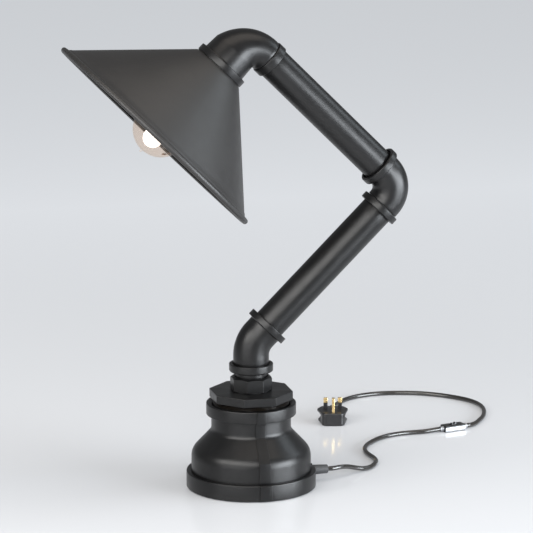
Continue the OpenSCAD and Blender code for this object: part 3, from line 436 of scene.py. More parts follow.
def noise(nt, scale, detail=2.0):
    where = nt.nodes.new("ShaderNodeTexCoord").outputs["Object"]
    n = nt.nodes.new("ShaderNodeTexNoise")
    for label, value in (("Scale", scale), ("Detail", detail), ("Roughness", 0.5)):
        n.inputs[label].default_value = value
    nt.links.new(where, n.inputs["Vector"])
    return n.outputs["Fac"]


def remap(nt, value, to_min, to_max, from_min=0.3, from_max=0.7):
    n = nt.nodes.new("ShaderNodeMapRange")
    ends = (("From Min", from_min), ("From Max", from_max), ("To Min", to_min), ("To Max", to_max))
    for label, number in ends:
        n.inputs[label].default_value = number
    nt.links.new(value, n.inputs["Value"])
    return n.outputs["Result"]


def bump(nt, height, strength, distance, normal=None):
    n = nt.nodes.new("ShaderNodeBump")
    n.inputs["Strength"].default_value = strength
    n.inputs["Distance"].default_value = distance
    nt.links.new(height, n.inputs["Height"])
    if normal is not None:
        nt.links.new(normal, n.inputs["Normal"])
    return n.outputs["Normal"]


def mix_color(nt, fac, a, b):
    n = nt.nodes.new("ShaderNodeMix")
    n.data_type = "RGBA"
    n.inputs["A"].default_value = (*a, 1)
    n.inputs["B"].default_value = (*b, 1)
    nt.links.new(fac, n.inputs["Factor"])
    return n.outputs["Result"]


GRAIN, GRAIN_DEPTH, CAST_DEPTH = 1100.0, 0.00006, 0.0006


def coat(name, dark, light, rough, cast=0.0, spec=0.5):
    """Powder coat: orange peel, faint patches in tone and gloss, and a cast surface under it."""
    material, nt, p = shader(name)
    p.inputs["Specular IOR Level"].default_value = spec
    tone = mix_color(nt, remap(nt, noise(nt, 14.0, 3.0), 0, 1), dark, light)
    nt.links.new(tone, p.inputs["Base Color"])
    nt.links.new(remap(nt, noise(nt, 55.0, 3.0), rough - 0.03, rough + 0.04), p.inputs["Roughness"])
    normal = bump(nt, noise(nt, GRAIN, 1.0), 0.04, GRAIN_DEPTH)
    if cast:
        normal = bump(nt, noise(nt, 130.0, 3.0), cast, CAST_DEPTH, normal)
    nt.links.new(normal, p.inputs["Normal"])
    return material


CAST = coat("cast_coat", (0.0036, 0.0036, 0.0038), (0.0052, 0.0052, 0.0054), 0.34, cast=0.006, spec=0.34)
PIPE = coat("pipe_coat", (0.0036, 0.0036, 0.0038), (0.0050, 0.0050, 0.0052), 0.35, spec=0.34)
SHEET = coat("shade_coat", (0.0125, 0.0118, 0.0114), (0.0150, 0.0143, 0.0138), 0.47)
print("coats:", CAST.name, PIPE.name, SHEET.name)

# %% [markdown]
# ## Rubber, plastic and bare metal
# The rest of the solid finishes differ only in colour, gloss and grain, so one helper makes them all.
# Moulded rubber and plastic have a fine grain from their mould. The silver trims and the brass pins are
# metals, and a metal gets its colour from its reflection, so it is light and has its metallic value at one.

# %% Rubber, plastic and bare metal
MOULD_GRAIN, MOULD_DEPTH = 0.3, 0.00004


def plain(name, color, rough, metallic=0.0, spec=0.5, grain=0.0):
    material, nt, p = shader(name)
    p.inputs["Base Color"].default_value = (*color, 1)
    p.inputs["Metallic"].default_value = metallic
    p.inputs["Specular IOR Level"].default_value = spec
    nt.links.new(remap(nt, noise(nt, 90.0, 3.0), rough - 0.04, rough + 0.05), p.inputs["Roughness"])
    if grain:
        nt.links.new(bump(nt, noise(nt, grain), MOULD_GRAIN, MOULD_DEPTH), p.inputs["Normal"])
    return material


THREAD = plain("thread_oil", (0.005, 0.0036, 0.0024), 0.35, spec=0.25)
RUBBER = plain("rubber", (0.042, 0.043, 0.045), 0.55, grain=900.0)
CORD = plain("cord_sheath", (0.017, 0.0155, 0.014), 0.16, spec=0.8)
PLASTIC = plain("plastic", (0.011, 0.011, 0.012), 0.33, grain=1300.0)
HOLDER = plain("holder_plastic", (0.013, 0.013, 0.013), 0.4)
SILVER = plain("silver", (0.40, 0.41, 0.43), 0.48, metallic=1.0)
BRASS = plain("brass", (0.80, 0.60, 0.29), 0.30, metallic=1.0)
STEEL = plain("steel", (0.55, 0.55, 0.56), 0.32, metallic=1.0)
CERAMIC = plain("ceramic", (0.80, 0.79, 0.74), 0.2)
CAPMETAL = plain("cap_metal", (0.80, 0.79, 0.76), 0.25, metallic=1.0)
# A dark brown leaf beside the bulb's core: a painted reflection of the shade's dark rim in the glass.
PAINTED_RIM_REFLECTION = plain("painted_rim_reflection_tab", (0.16, 0.09, 0.05), 0.35, metallic=0.6)
print(len(bpy.data.materials), "finishes so far")

# %% [markdown]
# ## Glass and glow
# The bulb's wall is about a millimetre thick, so it hardly bends light. Full refraction is slow and would
# bend it all the same. Here light goes straight through a faint warm tint, and the glass only reflects,
# more towards its edge. What shines in the bulb is emission, strong enough to read as lit without lighting
# the room.

# %% Glass and glow
EDGE_POWER, FACE_SHINE = 3.0, 0.03


def glass(name, tint, edge=0.35, haze=0.0):
    """Thin clear glass, with a share of reflection at its edge and a faint glow of its own."""
    m = bpy.data.materials.new(name)
    m.use_nodes = True
    nt = m.node_tree
    nt.nodes.clear()
    new, ln = nt.nodes.new, nt.links.new
    out, mix, add = new("ShaderNodeOutputMaterial"), new("ShaderNodeMixShader"), new("ShaderNodeAddShader")
    see, gloss = new("ShaderNodeBsdfTransparent"), new("ShaderNodeBsdfGlossy")
    warm = new("ShaderNodeEmission")
    facing, power = new("ShaderNodeLayerWeight"), new("ShaderNodeMath")
    power.operation = "POWER"
    power.inputs[1].default_value = EDGE_POWER
    facing.inputs["Blend"].default_value = 0.5
    see.inputs["Color"].default_value = (*tint, 1)
    gloss.inputs["Roughness"].default_value = 0.03
    warm.inputs["Color"].default_value = (1.0, 0.86, 0.74, 1)
    warm.inputs["Strength"].default_value = haze
    ln(facing.outputs["Facing"], power.inputs[0])
    ln(remap(nt, power.outputs["Value"], FACE_SHINE, edge, 0.0, 1.0), mix.inputs["Fac"])
    ln(see.outputs["BSDF"], mix.inputs[1])
    ln(gloss.outputs["BSDF"], mix.inputs[2])
    ln(mix.outputs["Shader"], add.inputs[0])
    ln(warm.outputs["Emission"], add.inputs[1])
    ln(add.outputs["Shader"], out.inputs["Surface"])
    return m


def glow(name, color, strength):
    material, _, p = shader(name)
    p.inputs["Base Color"].default_value = (*color, 1)
    p.inputs["Emission Color"].default_value = (*color, 1)
    p.inputs["Emission Strength"].default_value = strength
    p.inputs["Roughness"].default_value = 0.4
    return material


GLASS = glass("bulb_glass_clear", (0.978, 0.937, 0.903), 0.12, 0.014)
STEM = glass("bulb_stem_glass", (0.95, 0.90, 0.84))
FILAMENT = glow("filament", (1.0, 0.93, 0.80), 6.0)
DIFFUSER = glow("inner_diffuser", (1.0, 0.97, 0.93), 1.9)
print("finishes of the bulb:", GLASS.name, STEM.name, FILAMENT.name, DIFFUSER.name)

# %% [markdown]
# ## Camera
# The photograph was taken from far away with a long lens, so the lamp shows little perspective. The camera
# was fitted to the rings and corners of the fittings: thirteen degrees above the table, and fourteen to the
# left.

# %% Camera
CAMERA_AZIMUTH, CAMERA_ELEVATION = math.radians(-13.72), math.radians(12.76)
CAMERA_DISTANCE, CAMERA_AIM = 5.8417, Vector((0.0232, 0, 0.3285))
PHOTO_WIDTH, FOCAL_PIXELS, SENSOR = 533, 4018.7, 36.0
cam_data = bpy.data.cameras.new("camera")
cam = show("camera", cam_data)
scene.camera = cam
back = Vector((math.sin(CAMERA_AZIMUTH) * math.cos(CAMERA_ELEVATION),
               -math.cos(CAMERA_AZIMUTH) * math.cos(CAMERA_ELEVATION), math.sin(CAMERA_ELEVATION)))
cam.location = CAMERA_AIM + back * CAMERA_DISTANCE
cam.rotation_mode = "QUATERNION"
cam.rotation_quaternion = (-back).to_track_quat("-Z", "Y")
cam_data.sensor_width = SENSOR
cam_data.lens = FOCAL_PIXELS / PHOTO_WIDTH * SENSOR
cam_data.clip_start, cam_data.clip_end = 0.1, 60.0
print(f"lens of {cam_data.lens:.0f} mm")

# %% [markdown]
# ## Cords
# A round flexible cord of 7 mm lies loose on the table, once from the base to the switch and once on to the
# plug. Its route could be simulated, but the photograph shows all of it, so its points were chosen along the
# middle line, with a smooth curve through them. The part's source follows the same route.

# %% Cords
CORD_R = 0.0035
SWITCH_AXIS, PORT_Z = 5.0, 10.0


def turned(x, y, angle):
    a = math.radians(angle)
    return Place((x, y, 0), (math.cos(a), math.sin(a), 0))


SWITCH = turned(375.4, 227.1, 14.4)
PLUG = turned(206, 313, -12)


def switch_point(x):
    return tuple(SWITCH.at([x, 0, SWITCH_AXIS]))


def plug_point(y):
    return tuple(PLUG.at([0, y, PORT_Z]))


def on_table(points):
    return [(x * MM, y * MM, z * MM) for x, y, z in points]


NEAR = on_table([(115.1, 0, 17.6), (119, 0, 17.6), (123.5, 0, 17.6), (130, 2.5, 17.4),
                 (139.5, 8, 16.6), (152, 17, 13.6), (165.5, 25, 9), (179, 32, 5),
                 (193, 42.5, 3.6), (203.5, 57, 3.6), (210, 73, 3.6), (211.5, 89, 3.6), (209.5, 106, 3.6),
                 (208.5, 124, 3.6), (211.5, 143, 3.6), (219, 161, 3.6), (231, 178, 3.6), (245.5, 193.5, 3.6),
                 (261, 205, 3.6), (277, 212.5, 3.6), (294, 216.5, 3.6), (311, 217.5, 3.6), (328, 217.5, 4)])
NEAR += [switch_point(x) for x in (-32, -24, -18.2)]
FAR = [switch_point(x) for x in (18.2, 24, 28.5)]
FAR += on_table([(411, 240.5, 4), (419.5, 250, 3.6), (428.5, 263.5, 3.6), (438.5, 280, 3.6),
                 (447.5, 301, 3.6), (454, 325, 3.6), (456, 348, 3.6), (452.5, 371, 3.6), (442.5, 392.5, 3.6),
                 (426.5, 412.5, 3.6), (405, 432, 3.6), (379.5, 447, 3.6), (352.5, 455.5, 3.6),
                 (328, 459, 3.6), (304, 457.5, 3.6), (282, 450.5, 3.6), (263, 439, 3.6), (247.5, 424, 3.6),
                 (235.5, 406, 4.2), (226, 387, 6.5)])
FAR += [plug_point(y) for y in (58, 47, 37.5, 23, 8.6)]


def smooth(points, steps=8):
    """A Catmull-Rom curve through the points."""
    p = [np.array(q, float) for q in points]
    out = []
    for i in range(len(p) - 1):
        a, b, c, d = p[max(i - 1, 0)], p[i], p[i + 1], p[min(i + 2, len(p) - 1)]
        for j in range(steps):
            t = j / steps
            out.append(0.5 * (2 * b + (c - a) * t + (2 * a - 5 * b + 4 * c - d) * t * t
                              + (3 * b - a - 3 * c + d) * t ** 3))
    out.append(p[-1])
    return out


def run(points):
    return float(sum(np.linalg.norm(b - a) for a, b in zip(points, points[1:])))


for label, points in (("cord_near", NEAR), ("cord_far", FAR)):
    path = smooth(points)
    mesh = swept(label + "_line", path, CORD_R, CORD, 28)
    sheath = finish_piece(label + "_sheath", mesh, CORD, "base", [label], sharp=60)
    print(f"{label}: {run(path) * 1000:.0f} mm long")

# %% [markdown]
# ## Base: the bell and its foot ring
# The bell is a casting: an upright side, a round shoulder, a straight slope, a hollow neck and a rim that
# takes the bushing. It is round, so its outline is turned. A named size stands for each of its forms, and
# the slope starts and ends where the two arcs touch it.

# %% The bell's outline
SHELL_R, SHELL_WALL = 87.7, 6.0
FLARE = 43.0
SHOULDER_R, SHOULDER_Z = 24.0, 46.0
SHOULDER_X = SHELL_R - SHOULDER_R
NECK_R, NECK_BEND = 58.4, 12
RIM_OUT, RIM_LOW, RIM_TOP = 65.8, 110, 127.3
BUSHING_SEAT = 112.3
RIB_PROUD = 1.2
flare_sin, flare_cos = math.sin(math.radians(FLARE)), math.cos(math.radians(FLARE))
flare_tan = math.tan(math.radians(FLARE))
shoulder_end = (SHOULDER_X + SHOULDER_R * flare_cos, SHOULDER_Z + SHOULDER_R * flare_sin)
slope_end_r = NECK_R + NECK_BEND * (1 - flare_cos)
NECK_Z = shoulder_end[1] + (shoulder_end[0] - slope_end_r) / flare_tan + NECK_BEND * flare_sin


def bell_side(inset, steps=14):
    """The shoulder and the neck, moved inwards by a part of the wall."""
    shoulder = arc(SHOULDER_X, SHOULDER_Z, SHOULDER_R - inset, 0, FLARE, steps)
    neck = arc(NECK_R + NECK_BEND, NECK_Z, NECK_BEND + inset, 180 + FLARE, 180, steps)
    return shoulder + neck


rim = soften([(NECK_R, 104), (NECK_R, RIM_LOW), (RIM_OUT, RIM_LOW), (RIM_OUT, RIM_TOP), (61.0, RIM_TOP),
              (57.05, 124.8), (57.05, BUSHING_SEAT), (52.4, BUSHING_SEAT)],
             {1: 1.0, 2: 0.9, 3: 1.6, 4: 0.4}, 5, closed=False)
bell = [(SHELL_R, 8.5), (SHELL_R, 30)] + bell_side(0) + rim
bell += list(reversed(bell_side(SHELL_WALL, 8))) + [(SHELL_R - SHELL_WALL, 8.5)]
foot = soften([(95, 1), (95, 25.2), (88.0, 25.2), (88.0, 2.5), (86.2, 2.5), (86.2, 1)],
              {0: 1.2, 1: 1.4, 2: 0.7}, 5)
print(f"the neck bends about a height of {NECK_Z:.1f} mm")

# %% [markdown]
# ## The rib, and the opening for the strain relief
# At the front the bell carries a flat rib that tapers upwards and stands a little proud. It isn't round, so
# it is a closed solid of its own inside the same mesh. The strain relief needs a round hole at the right. A
# boolean with the exact solver makes it, as a hole drawn into the turned faces by hand would be long and
# hard to change.

# %% The rib, and the opening for the strain relief
RIB_FOOT_W, RIB_TOP_W = 18.5, 13.2
OUTLET_Z, OUTLET_R, OUTLET_LEN = 17.6, 8.2, 40
slope_r = shoulder_end[0] + RIB_PROUD * flare_cos
slope_z = shoulder_end[1] + RIB_PROUD * flare_sin


def rib_slope(r):
    """Height of the rib's front on the slope, at a radius."""
    return slope_z - (r - slope_r) / flare_tan


def rib_solid(front, back, edge=0.5):
    """The rib: flat across its width, which tapers with height. front and back are outlines of
    (radius, height), and the front's long edges are rounded."""
    outline = np.array(front + back, float)
    half = (RIB_FOOT_W + (RIB_TOP_W - RIB_FOOT_W) * outline[:, 1] / RIM_TOP) / 2
    shown = np.array([1.0] * len(front) + [0.0] * len(back))
    turns = np.linspace(0, math.pi / 2, 5)
    rows = []
    for side, order in ((-1, turns), (1, turns[::-1])):
        for t in order:
            x = side * (half - edge * (1 - math.cos(t)))
            y = -(outline[:, 0] - edge * (1 - math.sin(t)) * shown)
            rows.append(np.stack([x, y, outline[:, 1]], 1))
    return BASE.at(np.array(rows)).reshape(-1, 3), capped_faces(len(rows), len(outline))


def outlet(start, open_above):
    """Cutters for the strain relief, at +X: a round hole, and a slot above it where the ring is open."""
    across = Place((start, 0, OUTLET_Z), (0, 0, 1), (1, 0, 0))
    cutters = [lathe([(0.001, 0), (OUTLET_R, 0), (OUTLET_R, OUTLET_LEN), (0.001, OUTLET_LEN)], across, 48)]
    if open_above:
        cutters.append(block(start, start + OUTLET_LEN, -OUTLET_R, OUTLET_R, OUTLET_Z, OUTLET_Z + 20, 0.01,
                             BASE, 1))
    return cutters


def base_casting(name, outline, rib, cutters, node):
    parts = [cut(name + "_ring", lathe(outline, cols=180), cutters), welded(name + "_rib", *rib)]
    finish_piece(name, join_meshes(parts, name), CAST, "base", [node], sharp=28)


bell_r, neck_r, rim_r = SHELL_R + RIB_PROUD, NECK_R + RIB_PROUD, RIM_OUT + RIB_PROUD
bell_rib = soften([(86, 25.3), (bell_r, 25.3), (bell_r, rib_slope(bell_r)), (neck_r, rib_slope(neck_r)),
                   (neck_r, 108.8), (rim_r, 108.8), (rim_r, RIM_TOP), (60, RIM_TOP)],
                  {1: 0.5, 2: 1.0, 3: 1.5, 4: 0.8, 5: 0.8, 6: 1.4}, 4, closed=False)
bell_back = [(60, 124.0), (57.8, 112.0)] + list(reversed(bell_side(3.0, 8))) + [(SHELL_R - 3, 25.3)]
foot_rib = soften([(91, 1.4), (96.2, 1.4), (96.2, 24.9), (91, 24.9)], {1: 1.2, 2: 1.4}, 5, closed=False)
base_casting("bell_casting", bell, rib_solid(bell_rib, bell_back), outlet(SHELL_R - 18, False), "base_shell")
base_casting("foot_ring", foot, rib_solid(foot_rib, []), outlet(SHELL_R - 12, True), "base_ring")

# %% [markdown]
# ## Octagonal fittings
# The bushing and the lock nut are octagons for a wrench, round below and in their bore. One skin can be
# both: every row of vertices has the same angles, and a rule for the row turns the octagon's radii into its
# own. A row that takes the smaller of the octagon and a circle gives the lock nut's chamfer, as a cone cuts
# it on a lathe.

# %% Octagonal fittings
EIGHTH = math.radians(45)


def octagon_radius(angles, flats, corner):
    """Distance from the axis to an octagon with rounded corners, at each angle."""
    r = flats / 2 / math.cos(EIGHTH / 2)
    middle = [math.radians(22.5 + 45 * i) for i in range(8)]
    outline = np.array(soften([(r * math.cos(t), r * math.sin(t)) for t in middle], corner, 6))
    t = np.arctan2(outline[:, 1], outline[:, 0])
    order = np.argsort(t)
    t, p = t[order], outline[order]
    t = np.concatenate([[t[-1] - 2 * math.pi], t, [t[0] + 2 * math.pi]])
    p = np.concatenate([p[-1:], p, p[:1]])
    out = []
    for a in angles:
        a = (a + math.pi) % (2 * math.pi) - math.pi
        k = min(np.searchsorted(t, a, side="right"), len(t) - 1)
        ray, start, along = (math.cos(a), math.sin(a)), p[k - 1], p[k] - p[k - 1]
        out.append((start[0] * -along[1] + start[1] * along[0]) / (ray[0] * -along[1] + ray[1] * along[0]))
    return np.array(out)


def octagon_angles(flats, corner, steps=12):
    """Angles that fall on the corners' arcs and evenly between them."""
    half = math.atan(corner * math.tan(EIGHTH / 2) / (flats / 2)) * 1.02
    out = []
    for i in range(8):
        middle = math.radians(22.5 + 45 * i)
        out += list(middle + np.linspace(-half, half, 7))
        out += list(np.linspace(middle + half, middle + EIGHTH - half, steps + 2)[1:-1])
    return np.array(out)


def octagon_ring(rows, flats, corner):
    """Rows are (height, radius) or (height, rule). A rule turns the octagon's radii and angles into radii."""
    a = octagon_angles(flats, corner)
    full = octagon_radius(a, flats, corner)
    points = []
    for z, rule in rows:
        r = rule(full, a) if callable(rule) else np.full(len(a), float(rule))
        points.append(np.stack([r * np.cos(a), r * np.sin(a), np.full(len(a), z)], 1))
    return BASE.at(np.array(points)).reshape(-1, 3), grid_faces(len(points), len(a), wrap_rows=True)


def inset(d):
    return lambda full, a: full - d


def chamfered(r):
    return lambda full, a: np.minimum(full, r)


def thread(z, crest, depth, pitch):
    def rule(full, a):
        share = (z / pitch - a / (2 * math.pi)) % 1.0
        return crest - depth * np.abs(2 * share - 1)
    return rule


print("a row of an octagon has", len(octagon_angles(100, 1)), "points")

# %% [markdown]
# ## Bushing, lock nut and swivel ring
# Between the rim and the octagon a band of thread shows, dark with oil. It is real geometry: each row's
# radius goes up and down once a turn, and the turn starts later from row to row, which winds the ridge
# round. Its faces get a material of their own.

# %% Bushing, lock nut and swivel ring
BUSHING_TOP, BUSHING_R, BORE_R = 145.5, 55.5, 23.05
OCTAGON_LOW, OCTAGON_EDGE, BUSHING_FLATS = 132.6, 0.9, 114.4
THREAD_LOW, THREAD_TOP, THREAD_PITCH = 126.4, 132.5, 1.81
edge = [(OCTAGON_EDGE * (1 - math.sin(t)), OCTAGON_EDGE * (1 - math.cos(t)))
        for t in np.linspace(0, math.pi / 2, 6)]
rows = [(BUSHING_TOP, BORE_R), (128.6, BORE_R), (128.6, 47.5), (BUSHING_SEAT, 47.5), (BUSHING_SEAT, 55.2),
        (113.0, BUSHING_R), (126.0, BUSHING_R)]
rows += [(z, thread(z, 55.6, 1.1, THREAD_PITCH)) for z in np.arange(THREAD_LOW, THREAD_TOP, 0.2)]
rows += [(OCTAGON_LOW, 55.2)] + [(OCTAGON_LOW + d, inset(i)) for i, d in edge]
rows += [(BUSHING_TOP - d, inset(i)) for i, d in reversed(edge)]
bushing = piece("bushing_octagon", *octagon_ring(rows, BUSHING_FLATS, 1.1), [CAST, THREAD], "base",
                "cast_fitting", ["bushing"], sharp=16)
oiled = 0
for face in bushing.data.polygons:
    c = face.center
    if 126.2 * MM < c.z < THREAD_TOP * MM and 53 * MM < math.hypot(c.x, c.y) < 56.2 * MM:
        face.material_index = 1
        oiled += 1
print("faces of the thread:", oiled)

NUT_FLATS, NUT_LOW, CHAMFER_LOW, CHAMFER_H, CHAMFER_STEEP = 57.3, 146.1, 163.2, 3.3, 1.6
nut_r = NUT_FLATS / 2 / math.cos(EIGHTH / 2) + 1
rows = [(161.6, 24.4), (161.6, BORE_R), (NUT_LOW, BORE_R), (NUT_LOW, inset(0.7)), (146.3, inset(0.25)),
        (146.8, inset(0))]
rows += [(CHAMFER_LOW + CHAMFER_H * t, chamfered(nut_r - CHAMFER_STEEP * CHAMFER_H * t))
         for t in np.linspace(0, 1, 12)]
rows += [(166.55, 26.4), (166.6, 26.1), (166.6, 24.7), (166.3, 24.4)]
piece("lock_nut_octagon", *octagon_ring(rows, NUT_FLATS, 0.8), CAST, "base", "cast_fitting", ["lock_nut"],
      sharp=14)

socket = [(32.2, 185.6), (27.3, 185.6), (27.3, 178.0), (18.0, 178.0), (18.0, 153.0), (20.6, 153.0),
          (20.6, 114.3), (23.0, 114.3), (23.0, 173.7), (32.2, 173.7)]
piece("swivel_socket_ring", *lathe(soften(socket, {0: 1.0, 1: 0.5, 8: 1.0, 9: 2.5}, 7)), CAST, "base",
      "cast_fitting", ["swivel_socket"])

# %% [markdown]
# ## Elbows of the arms
# An elbow is a pipe fitting: a round body that bends, with a thicker band where the pipe screws in. A sweep
# along a curve would give the bend alone. Here the whole fitting is one closed skin of rings, from the
# swivel's spigot round the outside to the band, and back through the passage, so each ring can have its own
# radius.

# %% Elbows of the arms
ACROSS = np.array([0.0, 1.0, 0.0])
PASSAGE_R, SPIGOT_R, CLIP_R, SPIGOT_BORE = 20.0, 17.95, 16.75, 14.0


class Elbow:
    """Middle line of an elbow: in along one place's z, round the corner, and out along another's."""

    def __init__(self, way_in, corner, way_out, bend_r):
        self.d0, self.d1, self.corner, self.r = way_in.z, way_out.z, np.array(corner, float), bend_r
        self.angle = math.acos(float(self.d0 @ self.d1))
        self.tangent = bend_r * math.tan(self.angle / 2)
        self.normal = self.d1 - self.d0 * float(self.d1 @ self.d0)
        self.normal /= np.linalg.norm(self.normal)

    def before(self, h):
        return self.corner - self.d0 * h, self.d0

    def after(self, s):
        return self.corner + self.d1 * s, self.d1

    def on_bend(self, t):
        a = self.angle * t
        start = self.corner - self.d0 * self.tangent
        return (start + self.d0 * self.r * math.sin(a) + self.normal * self.r * (1 - math.cos(a)),
                self.d0 * math.cos(a) + self.normal * math.sin(a))


def ring_skin(rings, cols=96):
    """Closed skin through rings of (centre, heading, radius), all in the arms' plane."""
    a = np.linspace(0, 2 * math.pi, cols, endpoint=False)
    out = []
    for centre, heading, r in rings:
        side = np.cross(ACROSS, heading)
        out.append(centre + r * (np.cos(a)[:, None] * side + np.sin(a)[:, None] * ACROSS))
    return np.array(out).reshape(-1, 3) * MM, grid_faces(len(rings), cols, wrap_rows=True)


def elbow_rings(line, face, leg, band, mouth, seat):
    """face is the distance from the corner back to the swivel's face. band is (radius, width, roundness
    below, roundness at the end), and mouth is (radius, depth)."""
    zero = face + 1.1
    spigot = [(SPIGOT_BORE, 29.6), (SPIGOT_R, 29.6), (SPIGOT_R, 26.9), (CLIP_R, 26.9), (CLIP_R, 25.1),
              (SPIGOT_R, 25.1), (SPIGOT_R, -1.1), (ELBOW_R - 0.7, -1.1), (ELBOW_R - 0.2, -1.3),
              (ELBOW_R, -1.8)]
    rings = [(*line.before(zero + h), r) for r, h in spigot]
    bend = np.linspace(0, 1, 25)
    rings += [(*line.on_bend(t), ELBOW_R) for t in bend]
    band_r, width, round_low, round_end = band
    mouth_r, depth = mouth
    end = soften([(ELBOW_R, line.tangent), (ELBOW_R, leg - width), (band_r, leg - width), (band_r, leg),
                  (mouth_r, leg), (mouth_r, leg - depth), (24.2, leg - depth), (24.2, seat),
                  (PASSAGE_R, seat)],
                 {1: 1.6, 2: round_low, 3: round_end, 4: 0.5}, 7, closed=False)
    rings += [(*line.after(s), r) for r, s in end[1:]]
    rings += [(*line.on_bend(t), PASSAGE_R) for t in bend[::-1]]
    rings += [(*line.before(zero - 4.1), PASSAGE_R), (*line.before(zero - 4.1), SPIGOT_BORE)]
    return rings


lower_line = Elbow(BASE, LOWER_CORNER, LOWER, 42.0)
lower_rings = elbow_rings(lower_line, 35.9, 39.2, (32.4, 9.8, 0.9, 1.0), (25.2, 1.0), 22.2)
piece("lower_elbow_skin", *ring_skin(lower_rings), CAST, "lower_arm", "cast_fitting", ["lower_elbow"])
middle_line = Elbow(LOWER, MIDDLE_CORNER, UPPER, 33.5)
middle_rings = elbow_rings(middle_line, 37.3, 49.0, (31.0, 11.0, 3.0, 2.4), (27.15, 5.0), 34.0)
piece("middle_elbow_skin", *ring_skin(middle_rings), CAST, "upper_arm", "cast_fitting", ["middle_elbow"])

# %% [markdown]
# ## Pipes and swivel collars
# A pipe is a turned tube. It gets some rings along its length as well, so that no face is as long as the
# pipe. Each pipe ends in a collar: the sleeve that the next elbow's spigot turns in. Both are drawn in
# their arm's own place.

# %% Pipes and swivel collars
def tube(name, place, start, end, body, node):
    inner_r = PIPE_R - PIPE_WALL
    outline = soften([(PIPE_R, start), (PIPE_R, end), (inner_r, end), (inner_r, start)], 0.3, 2)
    steps = [(PIPE_R, z) for z in np.linspace(start, end, 12)[1:-1]]
    k = next(i for i, p in enumerate(outline) if p[1] > (start + end) / 2)
    piece(name, *lathe(outline[:k] + steps + outline[k:], place, 128), PIPE, body, "painted_pipe", [node])


def collar(name, place, face, r, width, body, node):
    outline = [(r, face - width), (r, face), (18.0, face), (18.0, face - 25), (22.1, face - 25),
               (22.1, face - 3), (24.2, face - 3), (24.2, face - width)]
    outline = soften(outline, {0: 0.9, 1: 1.3, 2: 0.3, 7: 0.4}, 6)
    piece(name, *lathe(outline, place, 128), CAST, body, "cast_fitting", [node])


tube("lower_tube", LOWER, 22.2, 274.1, "lower_arm", "lower_pipe")
tube("upper_tube", UPPER, 34.0, 279.5, "upper_arm", "upper_pipe")
collar("lower_collar_ring", LOWER, 277.1, 30.7, 9.9, "lower_arm", "lower_collar")
collar("upper_collar_ring", UPPER, 282.5, 27.0, 12.5, "upper_arm", "upper_collar")

# %% [markdown]
# ## Head elbow
# The last elbow grows from the pipe's size to the width of the shade's neck. Its rings turn about the
# elbow's inner corner, and their radius grows with the square of the turn, so slowly at first.

# %% Head elbow
BEND_OUT, BEND_SIDE, SMALL_R, GROWN_R, HEAD_WALL = 27.2, 35.5, 25.7, 34.0, 4.5
HEAD_COLS = 112


def grown(turn):
    return SMALL_R + (GROWN_R - SMALL_R) * turn * turn


def head_ring(x=None, z=None, r=10.0, turn=None):
    """A ring of the head elbow in the head's own frame: across the arm at x, across the shade's axis at z,
    or on the bend at a turn from 0 to 1."""
    a = np.linspace(0, 2 * math.pi, HEAD_COLS, endpoint=False)
    c, s = r * np.cos(a), r * np.sin(a)
    if x is not None:
        return np.stack([np.full(HEAD_COLS, x), s, -c], 1)
    if z is not None:
        return np.stack([c, s, np.full(HEAD_COLS, z)], 1)
    t = math.radians(90 * turn)
    q = grown(turn) + 1.5 + c
    return np.stack([-BEND_SIDE + q * math.sin(t), s, BEND_OUT - q * math.cos(t)], 1)


bend = np.linspace(0, 1, 33)
spigot = [(SPIGOT_BORE, -69.7), (SPIGOT_R, -69.7), (SPIGOT_R, -67.0), (CLIP_R, -67.0), (CLIP_R, -65.2),
          (SPIGOT_R, -65.2), (SPIGOT_R, -39.0), (25.0, -39.0), (25.5, -38.8), (25.7, -38.3)]
rings = [head_ring(x=x, r=r) for r, x in spigot] + [head_ring(turn=t, r=grown(t)) for t in bend]
neck = soften([(GROWN_R, BEND_OUT), (35.3, 49.1), (40.8, 49.1), (40.8, 59.5), (29.0, 59.5), (29.0, 53.0),
               (5.05, 53.0), (5.05, 49.0), (29.0, 49.0), (29.0, BEND_OUT)],
              {1: 1.8, 2: 1.0, 3: 1.0}, 6, closed=False)
rings += [head_ring(z=z, r=r) for r, z in neck[1:-1]]
rings += [head_ring(turn=t, r=grown(t) - HEAD_WALL) for t in bend[::-1]]
rings += [head_ring(x=-36.0, r=PASSAGE_R), head_ring(x=-36.0, r=SPIGOT_BORE)]
head_faces = grid_faces(len(rings), HEAD_COLS, wrap_rows=True)
piece("head_elbow_skin", HEAD.at(np.array(rings)).reshape(-1, 3), head_faces, CAST, "head", "cast_fitting",
      ["head_elbow"])

# %% [markdown]
# ## Shade
# The shade is spun from sheet: a plain cone whose rim is rolled over. It is one turned outline, out along
# the cone, round the curl, back inside the curl and up the inner face, so the sheet has its real thickness
# everywhere.

# %% Shade
CONE_ANGLE, CONE_TOP_R, CONE_TOP, CONE_H = math.radians(45.9), 40.1, 60.1, 133.6
CONE_SLOPE = math.tan(CONE_ANGLE)
SHEET_ACROSS = 1 / math.cos(CONE_ANGLE)
RIM_S, RIM_R, BEAD_R, BEAD_T = CONE_TOP + CONE_H, CONE_TOP_R + CONE_H * CONE_SLOPE, 4.3, 1.1


def cone(s):
    return CONE_TOP_R + (s - CONE_TOP) * CONE_SLOPE


outer = [(5.05, 59.5), (38.5, 59.5), (38.5, 60.1), (39.3, 60.1), (39.9, 60.35), (cone(61.4), 61.4)]
outer += [(cone(s), s) for s in np.linspace(70, 180, 12)]
outer += [(cone(185.4), 185.4), (cone(186.0) + 0.35, 185.8), (cone(189.0) + 0.35, 188.8)]
curl = arc(RIM_R, RIM_S, BEAD_R, -64, 150, 30)
back_curl = arc(RIM_R, RIM_S, BEAD_R - BEAD_T, 150, -82, 26)
inner = [(cone(s) - SHEET_ACROSS, s) for s in np.linspace(189, 66, 14)] + [(39.2, 61.1), (5.05, 61.1)]
piece("shade_cone", *lathe(outer + curl + back_curl + inner, HEAD, 256), SHEET, "head", "shade_sheet",
      ["shade"], sharp=24)

